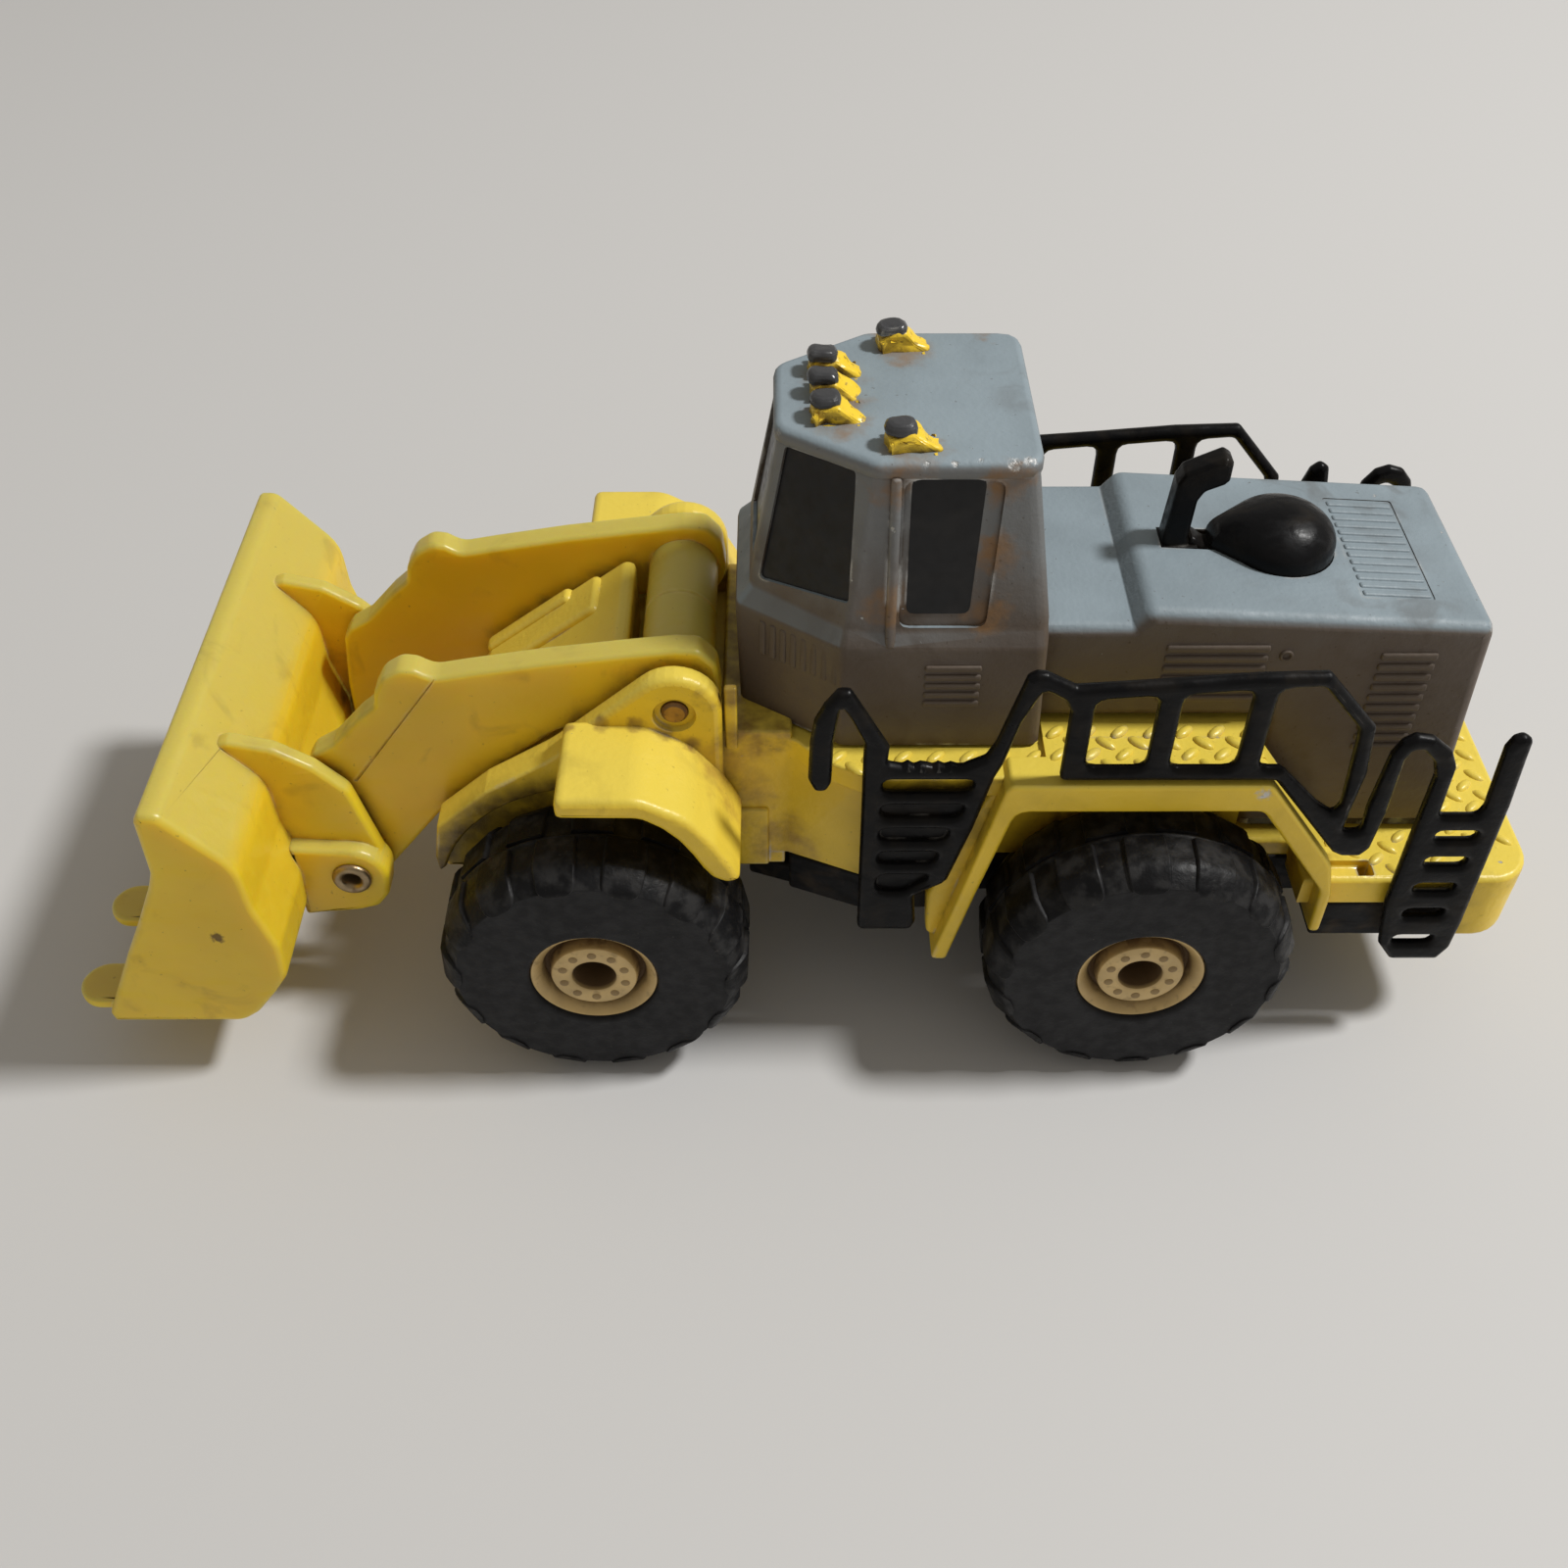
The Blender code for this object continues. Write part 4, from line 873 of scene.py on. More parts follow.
# Brown dirt and painted shade on the neck in front of the cab, the worn dark top of the near tab, and painted
# shadow on the inner faces beside the rear wheels.
NECK_DIRT_AND_SHADE = [(x, y, 34.0) for x in (12.6, 15.6) for y in (-11.5, -8.0, -4.0, 0.0, 4.0, 8.0, 11.5)]
NECK_DIRT_AND_SHADE += [(12.8, -12.1, 39.0), *mirrored([(66.4, 13.5, 19.0), (66.4, 14.5, 22.5)])]
YELLOW_KNOCKS = [(58.3, -19.0, 32.9), (86.2, -15.4, 18.6)]
GREY_KNOCKS = [(36.6, -9.9, 60.3), (35.2, -10.0, 60.2), (77.6, -9.9, 43.8)]
GREY_NICKS = [
    (32.6, -9.6, 60.2), (30.6, -9.9, 60.2), (28.4, -10.0, 60.2), (25.97, -11.3, 54.9), (17.0, -4.9, 59.9),
]
DOOR_RUST = mirrored([
    (26.2, 10.2, 58.4), (34.8, 10.2, 58.6), (34.4, 10.9, 52.5), (26.0, 11.9, 48.0), (34.0, 11.7, 47.0),
])
BUCKET_SCUFFS = [(-33.2, -23.4, 19.4)]
AMBER = (0.40, 0.225, 0.04)
FINISHES = {}


def finish_for(key):
    """Each finish is made once, from the colours set on the scene."""
    if key in FINISHES:
        return FINISHES[key]
    c = bpy.context.scene.loader_colours
    rust = tinted(c.grime_and_shade, 2.3)
    # Reach, raggedness, strength, colour and places of each kind of stain and of painted shade
    yellow_stains_and_shade = [
        (5.0, 1.5, 0.8, AMBER, YELLOW_STAINS), (3.2, 1.5, 0.9, tinted(AMBER, 0.6), NECK_DIRT_AND_SHADE),
        (1.1, 0.8, 0.8, rust, JOINT_STAINS), (4.0, 0.3, 1.0, tinted(c.grime_and_shade, 0.5), ARCH_SHADE),
    ]
    grey_stains = [(3.0, 1.5, 0.7, rust, LAMP_FEET), (2.6, 1.5, 1.0, rust, DOOR_RUST)]
    makers = {
        # The yellow enamel's paler top colour is dust and painted light; its stain list also holds painted
        # shade.
        "paint": lambda: enamel("worn_yellow_enamel", c.paint, 0.45, 0.3, 0.32, stains_and_shade=yellow_stains_and_shade,
                                knocks=[(0.9, YELLOW_KNOCKS)], tops_dust_and_light=(0.78, 0.60, 0.08)),
        # The grey enamel's upright faces get dirt and painted shade, share 0.85.
        "cab": lambda: enamel("worn_grey_enamel", c.cab, 0.8, 0.5, 0.50, 0.85, grey_stains,
                              [(0.8, GREY_KNOCKS), (0.35, GREY_NICKS)]),
        "vent": lambda: enamel("grey_enamel_on_slats", c.cab, 0.3, -2.0, 0.50),
        # Slats on upright faces take the darkened side colour: dirt and painted shade together.
        "side_vent": lambda: enamel("filmed_and_shaded_grey_enamel", (0.112, 0.084, 0.062), 0.4, -2.0, 0.60),
        "cap": lambda: enamel("dark_lamp_enamel", (0.045, 0.046, 0.05), 0.25, 0.0, 0.26),
        "plastic": lambda: moulding("yellow_moulding", c.plastic, 0.34, 0.5, BUCKET_SCUFFS),
        "black": lambda: dark_plastic("glossy_black_plastic", c.black, 0.27, 0.04, 0.5),
        "base": lambda: dark_plastic("dull_black_plastic", tinted(c.black, 1.8), 0.42, 0.16, 0.3),
        "lamp": lambda: lamp_paint("lamp_enamel", c.paint),
        "glass": lambda: glazing("window_plastic"),
        "rubber": lambda: rubber("tyre_rubber_worn", c.rubber),
        "hub": lambda: hub_plastic("hub_plastic_dirty", c.hub),
        "steel": lambda: bare_metal("dull_steel", (0.42, 0.41, 0.39), 0.34),
        "rust": lambda: bare_metal("rusty_steel", (0.34, 0.20, 0.09), 0.42),
        "rivet": lambda: bare_metal("brown_brass", (0.36, 0.27, 0.16), 0.32),
    }
    FINISHES[key] = makers[key]()
    return FINISHES[key]


# Outlines and panels of the castings

def section(sizes, out=0.0, radius=1.0):
    """A level outline of the cab, grown outward and with rounded corners."""
    front_x, front_half, corner_x, side_half, rear_x = sizes
    slant = math.atan2(side_half - front_half, corner_x - front_x)
    points = [
        (front_x - out, front_half + out * math.tan(math.pi / 4 - slant / 2)),
        (corner_x - out * math.tan(slant / 2), side_half + out),
        (rear_x + out, side_half + out),
    ]
    return soften(both(points), radius)


def between(first, second, share):
    return tuple(a + (b - a) * share for a, b in zip(first, second))


def panel(origin, along, towards):
    """Matrix from a flat panel's own X, Y and outward Z to the toy, from three points on the panel."""
    origin, along, towards = (Vector(point) for point in (origin, along, towards))
    across = (along - origin).normalized()
    outward = across.cross(towards - origin).normalized()
    upward = outward.cross(across)
    basis = Matrix((across, upward, outward)).transposed().to_4x4()
    basis.translation = Vector((FRONT_X + origin.x, origin.y, origin.z)) * MM
    return basis


def on_panel(matrix, outline, depth_from, depth_to, rounding=0.0):
    """An outline drawn on a panel, standing from one depth to another."""
    mesh = outlined([outline], depth_to - depth_from, rounding)
    mesh.transform(matrix @ Matrix.Translation((0, 0, (depth_from + depth_to) / 2 * MM)))
    return mesh


def side_panel(s, low, high, z_low, z_high):
    """A panel on the cab's side: X runs rearward on the left side, forward on the right."""
    return panel((0, s * low, z_low), (-s * 10, s * low, z_low), (0, s * high, z_high))


def start_on(s, x_from, x_to):
    """Where a stretch along the toy starts on a side panel's own X."""
    return x_from if s < 0 else -x_to


def hood_top():
    """The sloped panel on top of the hood."""
    return panel((48.8, 0, HOOD_TOP_Z), (77.6, 0, HOOD_TAIL_Z), (48.8, 10, HOOD_TOP_Z))


def cab_skin(out):
    """The closed outer form of the cab below its roof, grown outward."""
    levels = [
        (CAB_Z, CAB_FOOT), (BELT_Z - 0.5, CAB_BELT), (BELT_Z, between(CAB_BELT, CAB_SILL, 0.1)),
        (SILL_Z - 0.2, between(CAB_BELT, CAB_SILL, 0.9)), (SILL_Z + 0.4, CAB_SILL), (ROOF_Z, CAB_ROOF),
    ]
    return loft([(z, section(sizes, out, 1.2)) for z, sizes in levels])


def cab_core(gap):
    """The room inside the cab, made smaller by a gap."""
    inward = -CAB_WALL - gap
    return loft([
        (CAB_Z - 1 + 2 * gap, section(CAB_FOOT, inward)), (SILL_Z - 1.2, section(CAB_SILL, inward)),
        (ROOF_Z - 0.4 - gap, section(CAB_ROOF, inward)),
    ])


def window_openings():
    """Prisms through the cab's walls where its windows are."""
    prisms = [
        plate(soften(rect(10.0, 20.0, 47.2, 58.2), 0.4), -3.8, 3.8),
        plate(soften(rect(35.0, 43.0, 48.4, 57.6), 0.4), -6.8, 6.8),
    ]
    turn = math.atan2(CAB_SILL[3] - CAB_SILL[1], CAB_SILL[2] - CAB_SILL[0])
    for s in SIDES.values():
        door = [(27.4, 47.0), (32.6, 47.0), (33.3, 58.8), (27.4, 58.8)]
        prisms.append(plate(soften(door, 0.7), s * 7, s * 16))
        quarter = plate(soften([(0.85, 46.6), (9.9, 48.0), (8.4, 58.9), (1.75, 58.8)], 0.4), -4.5, 4.5)
        corner = place(CAB_SILL[0], s * CAB_SILL[1], 0)
        quarter.transform(corner @ Matrix.Rotation(s * turn, 4, "Z") @ place(0, 0, 0).inverted())
        prisms.append(quarter)
    return prisms


class LOADER_OT_chassis(Operator):
    """Build the yellow die-cast chassis with its ears, fenders, deck and bumper"""
    bl_idname = "loader.chassis"
    bl_label = "Chassis"

    def execute(self, context):
        r = context.scene.loader_sizes.casting_round / MM
        ear_top = arc(ARM_PIVOT, 4.1, 132, 0, 13)
        arch_edge = [(-14.9, 18.1), (-15.0, 20.0), (-14.3, 24.2), (-9.4, 28.6), (-3.6, 32.3)]
        arch_under = arc((0, AXLE_Z), 14.9, 96, 162, 12)
        corner = arc((TAIL_X - 4.0, DECK_HALF - 4.0), 4.0, 84, 0, 8)
        tail = [(TAIL_X - 4.0, DECK_HALF), *corner]
        shapes = [
            slab(both([
                (11.8, 12.2), (17.7, 12.2), (24.6, MID_HALF), (33.4, MID_HALF), (33.4, FRAME_HALF),
                (59.4, FRAME_HALF),
            ]), 18.3, MID_DECK_Z, 0.3),
            block((10.6, 17.5), (-12, 12), (16.7, 19.3), 0.2),
            plate([(-13.2, 16.7), (-13.2, 22.2), (-9.2, 26.1), (-2.6, 31.2), (12.6, 31.4), (12.6, 16.7)],
                  -EAR_IN - 0.5, EAR_IN + 0.5),
            plate(soften([
                (-12.0, 16.8), (-12.0, 27.0), (-11.4, 27.9), (2.5, 38.5, 1.0), (3.5, 38.2, 0.8), (3.5, 16.8),
            ], 0.5), -BOX_HALF, BOX_HALF, 0.7),
            slab(soften(both([(17.9, 11.9), (20.8, 15.0), (24.8, DECK_HALF), (41.0, DECK_HALF)]), 1.0),
                 30.8, MID_DECK_Z, 0.3),
            slab(both([(58.2, 12.1), (65.2, 12.1), (65.2, DECK_HALF), *at(-0.02, tail)]),
                 16.4, REAR_DECK_Z, r),
            slab(both([(80.4, DECK_HALF - 0.02), *at(-0.04, tail)]), 11.8, 18.9, r),
            block((40.1, 59.2), (-13.0, 13.0), (31.2, FENDER_DECK_Z - 0.1), 0.1),
            block((11.9, 18.1), (-12.2, 12.2), (30.0, 34.0), 0.3),
            block((12.2, 13.3), (-12.45, -11.7), (32.0, 39.2), 0.25),
        ]
        for s in SIDES.values():
            shapes += [
                plate(soften([
                    (-14.5, 17.4), *arch_edge[1:], (-2.7, 33.0), *ear_top, (12.0, 30.0, 2), (12.0, 16.9),
                ], 0.4), s * EAR_IN, s * EAR_OUT, 0.7),
                plate(soften(arch_edge + [(-1.6, 33.9)] + arch_under, 0.4), s * (EAR_OUT - 1.0),
                      s * (TYRE_IN + 0.9), 0.3),
                plate(soften([
                    (-1.9, 35.6, 0.9), (5.2, 35.6, 4), (9.3, 33.3, 5), (11.5, 30.3, 6), (12.8, 27.8, 5),
                    (13.7, 25.8, 1.0), (12.4, 25.3, 1.4), (11.1, 26.0, 1.4), (10.3, 27.2, 2), (9.5, 28.8, 4),
                    (8.4, 30.6, 4), (7.0, 32.1, 3), (5.2, 33.3, 2), (-1.9, 33.4, 0.6),
                ], 1.0, 4), s * (EAR_OUT - 0.9), s * (TYRE_OUT - 2.1), 0.7),
                block((12.4, 16.0), (s * 11.2, s * 12.6), (17.0, 24.5), 0.3),
                plate(soften(at(WHEELBASE, [
                    (-18.7, 10.6, 0.4), (-16.3, 21.1), (-13.7, 33.0), (-13.2, FENDER_DECK_Z, 0.5),
                    (9.1, FENDER_DECK_Z, 1.2), (16.5, 23.6, 2), (17.4, REAR_DECK_Z - 0.1), (17.4, 14.6, 0.4),
                    (16.4, 14.6, 0.4), (16.2, 20.3, 1.5), (8.9, 30.6, 1.2), (-12.5, 30.6, 1.5),
                    (-15.1, 20.0, 3), (-17.2, 10.6, 0.4),
                ]), 0.8), s * (MID_HALF - 0.2), s * 19.0, 0.4),
                plate(soften(at(WHEELBASE, [
                    (-19.1, 12.0, 1.0), (-19.4, 17.6, 2), (-15.2, 30.2, 2), (-13.2, 32.6), (-12.9, 30.9),
                    (-15.6, 20.0), (-17.5, 12.0),
                ]), 0.4), s * (MID_HALF - 0.1), s * (DECK_HALF - 0.1), 0.5),
                plate([(40.1, 30.7), (40.1, FENDER_DECK_Z - 0.05), *at(WHEELBASE, [
                    (9.1, FENDER_DECK_Z - 0.05), (16.4, 23.6), (17.3, REAR_DECK_Z - 0.2), (17.3, 17.4),
                    (16.3, 17.4), (16.1, 20.3), (8.8, 30.7),
                ])], s * (FRAME_HALF + 0.3), s * (MID_HALF + 0.1)),
            ]
        slope = panel((-11.4, 0, 27.9), (2.7, 0, 38.6), (-11.4, 10, 27.9))
        ribs = [on_panel(slope, soften(rect(0.3, 14.5, 1.3, 6.7), 0.8), -1.2, 0.6, 0.6)]
        cuts = [cab_skin(0.02)]
        pin = ARM_PIVOT[0], 0, ARM_PIVOT[1]
        recess = [(0, EAR_OUT - 0.6), (1.75, EAR_OUT - 0.6), (2.15, EAR_OUT + 1), (0, EAR_OUT + 1)]
        for s in SIDES.values():
            rib = rect(0.3, 11.2, *sorted((s * 4.9, s * 6.9)))
            ribs.append(on_panel(slope, soften(rib, 0.7), -1.2, 1.05, 0.6))
            cuts += [
                turned(recess, pin, s, 40),
                drill(PIN_BORE, EAR_IN - 1, EAR_OUT + 1, *ARM_PIVOT, s, 40),
                block((68.0, 71.9), (s * 14.8, s * 16.7), (19.1, 20.9), 0.3),
                block((70.8, 71.9), (s * 14.8, s * 16.7), (17.4, 20.9), 0.3),
            ]
        body = fused([fused(shapes, cuts), *ribs])
        dressed("chassis_casting", body, finish_for("paint"), "chassis", "yellow_paint", "chassis")
        return {"FINISHED"}


class LOADER_OT_tread_plate(Operator):
    """Build the raised studs of the tread plate on the decks"""
    bl_idname = "loader.tread_plate"
    bl_label = "Tread plate"

    def execute(self, context):
        sizes = context.scene.loader_sizes
        paint = finish_for("paint")
        patches = [(80.4, 85.4, -12.4, 12.4, REAR_DECK_Z)]
        for s in SIDES.values():
            patches += [
                (21.8, 39.4, s * 13.9, s * 16.7, MID_DECK_Z), (41.2, 58.4, s * 11.6, s * 16.9, FENDER_DECK_Z),
                (72.2, 78.6, s * 11.6, s * 16.2, REAR_DECK_Z), (68.3, 71.0, s * 11.6, s * 14.4, REAR_DECK_Z),
            ]
        fields = []
        for x_from, x_to, y_from, y_to, z in patches:
            y_from, y_to = sorted((y_from, y_to))
            field = grown(
                tree_for(stud_tree), bpy.data.meshes.new("studs"), Long=(x_to - x_from) * MM,
                Wide=(y_to - y_from) * MM, Pitch=sizes.stud_pitch,
                Stud=(sizes.stud_long / 2, sizes.stud_wide / 2, sizes.stud_high), Material=paint,
            )
            field.transform(place((x_from + x_to) / 2, (y_from + y_to) / 2, z))
            fields.append(field)
        dressed("tread_plate_studs", joined(fields), paint, "chassis", "yellow_paint")
        return {"FINISHED"}


class LOADER_OT_cab(Operator):
    """Build the grey cab and hood shell with its window openings, lamps and frames"""
    bl_idname = "loader.cab"
    bl_label = "Cab and hood"

    def execute(self, context):
        shapes = [
            cab_skin(0),
            slab(section(CAB_ROOF, 0.3, 2.0), ROOF_Z - 0.6, ROOF_TOP, 0.75),
            plate(soften([
                (38.6, 34.1, 0), (38.6, HOOD_LOW_Z, 0), (46.8, HOOD_LOW_Z, 0.2), (48.1, HOOD_TOP_Z, 1.4),
                (77.6, HOOD_TAIL_Z, 1.3), (79.0, REAR_DECK_Z + 0.3), (60.0, REAR_DECK_Z + 0.3), (60.0, 34.1),
            ], 0.3), -HOOD_HALF, HOOD_HALF, 1.15),
        ]
        keyhole = [
            (KEYHOLE_X, -KEYHOLE_HALF), *arc((DOME_X, 0), 5.0, 197.5, 522.5, 40), (KEYHOLE_X, KEYHOLE_HALF),
        ]
        cuts = [
            cab_core(0), *window_openings(), slab(keyhole, HOOD_LOW_Z - 3, HOOD_TOP_Z + 3),
            on_panel(hood_top(), soften(rect(VENT_FROM, VENT_TO, -VENT_HALF, VENT_HALF), 0.3), -0.1, 2.0),
        ]
        extras = []
        for s in SIDES.values():
            door = side_panel(s, CAB_SILL[3], CAB_ROOF[3], SILL_Z, ROOF_Z)
            face = [(-s * x, z) for x, z in ((26.8, 0.2), (34.0, 0.2), (34.8, 13.2), (26.8, 13.2))]
            cuts.append(on_panel(door, soften(face, 0.9), -0.3, 2.0))
            pillar = [(-s * x, z) for x, z in rect(25.7, 26.6, -1.8, 13.6)]
            extras.append(on_panel(door, soften(pillar, 0.4), -0.8, 0.45, 0.35))
        body = fused([fused(shapes, cuts), *extras])
        dressed("cab_and_hood", body, finish_for("cab"), "chassis", "grey_paint", "cab_body")

        lamps = []
        caps = []
        wedge = [
            (0.1, ROOF_TOP - 0.9, 0.2), (0.1, LAMP_TOP - 1.3, 0.3), (1.1, LAMP_TOP - 0.7, 0.6),
            (2.5, LAMP_TOP - 0.6, 0.8), (3.6, ROOF_TOP + 0.9, 0.8), (4.7, ROOF_TOP + 0.1, 0.3),
            (4.7, ROOF_TOP - 0.9, 0.2),
        ]
        for x, y in LAMP_PLACES:
            cap = []
            for drop, share in ((1.05, 0.96), (0.75, 1.0), (0.45, 0.93), (0.2, 0.76), (0.08, 0.45)):
                long = 1.38 * share
                wide = 1.2 * share
                level = rect(x + 1.4 - long, x + 1.4 + long, y - wide, y + wide)
                cap.append((LAMP_TOP - drop, soften(level, share)))
            lamps.append(lumpy(plate(soften(at(x, wedge), 0.4), y - 1.3, y + 1.3, 0.6), 1.1, 0.35))
            caps.append(lumpy(loft(cap), 1.4, 0.2))
        dressed("roof_lamps", joined(lamps), finish_for("lamp"), "chassis", "grey_paint")
        dressed("roof_lamp_caps", joined(caps), finish_for("cap"), "chassis", "grey_paint")
        return {"FINISHED"}


class LOADER_OT_louvres(Operator):
    """Build the rows of louvre slats on the hood and the cab"""
    bl_idname = "loader.louvres"
    bl_label = "Louvres"

    def execute(self, context):
        count = context.scene.loader_sizes.slat_count
        paint = finish_for("side_vent")
        ring = [(0.3, -0.2), (0.62, -0.2), (0.62, 0.05), (0.52, 0.2), (0.4, 0.2), (0.3, 0.05)]
        rows = []

        def row(matrix, start, size, height, number, step):
            """Slats of one size on a panel, from a start corner, moved by a step each."""
            edge = soften(rect(0, size[0], 0, size[1]), 0.25)
            slat = outlined([edge], height, min(0.23, height / 2 - 0.02))
            slat.transform(Matrix.Translation((start[0] * MM, start[1] * MM, 0)))
            offset = (step[0] * MM, step[1] * MM, 0.0)
            line = grown(tree_for(row_tree), slat, Count=number, Offset=offset, Material=paint)
            line.transform(matrix)
            return line

        vent = hood_top()
        vent.translation.z -= 0.19 * MM
        inside = VENT_HALF - 0.2
        pitch = 2 * inside / count
        start = (VENT_FROM + 0.2, 0.1 * pitch - inside)
        size = (VENT_TO - VENT_FROM - 0.4, 0.7 * pitch)
        slats = row(vent, start, size, 0.5, count, (0, pitch))
        dressed("hood_top_slats", slats, finish_for("vent"), "chassis", "grey_paint")
        for s in SIDES.values():
            hood = side_panel(s, HOOD_HALF, HOOD_HALF, 0, 10)
            quarter_foot = [(CAB_FOOT[0], s * CAB_FOOT[1], CAB_Z), (CAB_FOOT[2], s * CAB_FOOT[3], CAB_Z)]
            if s > 0:
                quarter_foot.reverse()
            quarter = panel(*quarter_foot, (CAB_BELT[0], s * CAB_BELT[1], BELT_Z))
            door = side_panel(s, CAB_FOOT[3], CAB_BELT[3], CAB_Z, BELT_Z)
            rows += [
                row(hood, (start_on(s, 49.9, 58.8), 36.2), (8.9, 0.72), 0.46, 6, (0, 1.13)),
                row(hood, (start_on(s, 68.4, 73.3), 30.4), (4.9, 0.75), 0.46, 10, (0, 1.17)),
                row(door, (start_on(s, 29.2, 34.0), 4.5), (4.8, 0.62), 0.4, 5, (0, 0.95)),
                row(quarter, (1.9, 6.4), (0.65, 3.6), 0.4, 8, (1.05, 0)),
                turned(ring, (-FRONT_X, 0, 0), 0, 20, closed=True),
            ]
            rows[-1].transform(hood @ Matrix.Translation((-s * 60.3 * MM, 41.4 * MM, 0)))
        dressed("louvre_slats", joined(rows), paint, "chassis", "grey_paint")
        return {"FINISHED"}


class LOADER_OT_windows(Operator):
    """Build the black window insert, its panes almost flush with the cab's walls"""
    bl_idname = "loader.windows"
    bl_label = "Windows"

    def execute(self, context):
        panes = fused(window_openings(), within=[cab_skin(-0.3)])
        insert = fused([cab_core(0.05), panes])
        dressed("window_panes", insert, finish_for("glass"), "chassis", "window_black", "window_insert")
        return {"FINISHED"}


class LOADER_OT_exhaust(Operator):
    """Build the exhaust stack and the air-filter dome"""
    bl_idname = "loader.exhaust"
    bl_label = "Exhaust and dome"

    def execute(self, context):
        top = HOOD_TOP_Z - (HOOD_TOP_Z - HOOD_TAIL_Z) * 0.5
        rise = 3.9
        dome = []
        for n in range(-1, 13):
            turn = math.radians(7 * max(n, 0))
            wide = math.cos(turn)
            tear = [*arc((DOME_X, 0), 4.9 * wide, 128, -128, 41), (DOME_X - 6.2 * wide, -1.25 * wide),
                    (DOME_X - 6.2 * wide, 1.25 * wide)]
            dome.append((PLUG_Z if n < 0 else top + 0.7 + (rise - 0.7) * math.sin(turn), tear))
        neck = rect(KEYHOLE_X + 0.05, DOME_X - 3, 0.03 - KEYHOLE_HALF, KEYHOLE_HALF - 0.03)
        stack = soften(at(KEYHOLE_X, [
            (0.05, PLUG_Z), (0.1, 46.3), (0.5, 52.1, 0.8), (1.0, 53.2, 0.6), (4.2, 54.75, 0.4),
            (4.9, 54.3, 0.4), (4.9, 52.5, 0.5), (4.5, 52.05, 0.4), (2.95, 51.35, 0.8), (2.5, 50.4, 0.8),
            (2.35, 46.6), (2.7, 45.7), (2.7, PLUG_Z),
        ]), 0.3)
        saddle = soften(at(KEYHOLE_X, [
            (2.4, 43.0), (2.4, 47.0, 0.5), (4.0, 45.7, 1.0), (8.0, 45.6, 0.3), (8.0, 43.0),
        ]), 0.3)
        foot = KEYHOLE_HALF - 0.02
        body = fused([
            loft(dome), slab(neck, PLUG_Z, top, 0.1), plate(stack, -1.2, 1.2, 0.5),
            plate(saddle, -1.1, 1.1, 0.4),
            block((KEYHOLE_X + 0.03, KEYHOLE_X + 3.2), (-foot, foot), (PLUG_Z, 45.95), 0.1),
        ])
        dressed("exhaust_and_dome", body, finish_for("black"), "chassis", "black_plastic", "exhaust_insert")
        return {"FINISHED"}


# Outlines of the railings, with X from the rear axle
RAIL_POSTS = (-8.2, -1.1, 6.5)
RAIL_BAR = 2.0
RAIL_HANDLE = [
    (-25.8, 14.6), (-26.0, 38.5), (-27.1, 41.0), (-28.0, 42.7), (-28.5, 38.6), (-28.6, 33.8), (-29.0, 32.9),
    (-30.0, 32.8), (-30.6, 34.2), (-30.5, 38.5), (-30.2, 40.8), (-29.4, 42.6), (-28.3, 44.2), (-27.2, 44.2),
    (-23.8, 37.9), (-23.9, 36.0),
]
RAIL_TOP = [
    (-17.0, 36.0), (-15.7, 36.7), (-15.0, 38.2), (-13.1, 45.6), (-12.4, 46.1), (-11.5, 46.0), (-9.0, 44.6),
    (-2.6, 45.1), (5.2, 45.8), (11.3, 46.0), (16.3, 40.2), (16.9, 35.0), (16.5, 27.7),
]
LADDER_FOOT = [(30.7, 15.3), (30.6, 11.8), (29.8, 10.1), (25.3, 10.1), (23.8, 12.2), (22.9, 17.8)]
REAR_LADDERS = {
    "left": [
        (18.2, 27.6), (18.0, 30.5), (18.4, 36.9), (19.0, 38.4), (20.0, 39.2), (21.6, 38.9), (23.5, 37.3),
        (24.3, 35.6), (24.5, 29.6), (27.9, 29.6), (28.2, 30.6), (28.0, 34.0), (27.8, 37.6), (28.2, 38.8),
        (29.0, 39.2), (29.8, 38.7), (29.9, 36.8), (30.3, 31.0), *LADDER_FOOT, (22.8, 25.0), (22.8, 34.4),
        (22.2, 36.2), (20.9, 37.6), (20.1, 37.6), (19.7, 36.5), (19.8, 30.0), (19.5, 25.6), (18.8, 24.6),
    ],
    "right": [
        (18.2, 27.6), (18.1, 30.5), (18.5, 38.6), (19.2, 41.0), (20.1, 41.8), (21.0, 41.2), (21.3, 39.4),
        (21.4, 29.6), (24.3, 29.6), (24.2, 36.5), (24.7, 39.3), (25.7, 40.8), (27.0, 41.3), (28.4, 40.9),
        (29.5, 39.6), (30.2, 37.4), (30.4, 31.0), *LADDER_FOOT, (22.8, 24.0), (20.5, 24.6), (18.8, 24.6),
    ],
}
FAR_HOOP = [
    (25.9, 31.4), (28.7, 31.4), (28.5, 37.6), (27.9, 39.0), (27.0, 39.5), (26.1, 39.0), (25.7, 37.6),
]
RAIL_RETURN = [
    (17.1, 24.6), (16.2, 25.1), (9.2, RAIL_FOOT_Z), (RAIL_POSTS[0] - RAIL_BAR / 2, RAIL_FOOT_Z),
    (RAIL_POSTS[0] - RAIL_BAR / 2, 42.0), (-9.8, 43.2), (-11.6, 44.4), (-13.0, 40.9), (-14.1, 36.1),
    (-14.7, 34.5), (-16.0, 28.3), (-17.8, 21.5), (-18.3, 20.9), (-20.7, 19.4), (-20.4, 15.6), (-20.8, 14.6),
]
LADDER_BACK = [(-25.2, 18.8), (-21.3, 18.8), (-18.4, 21.8), (-16.9, 28.3), (-16.2, 31.4), (-25.2, 31.4)]


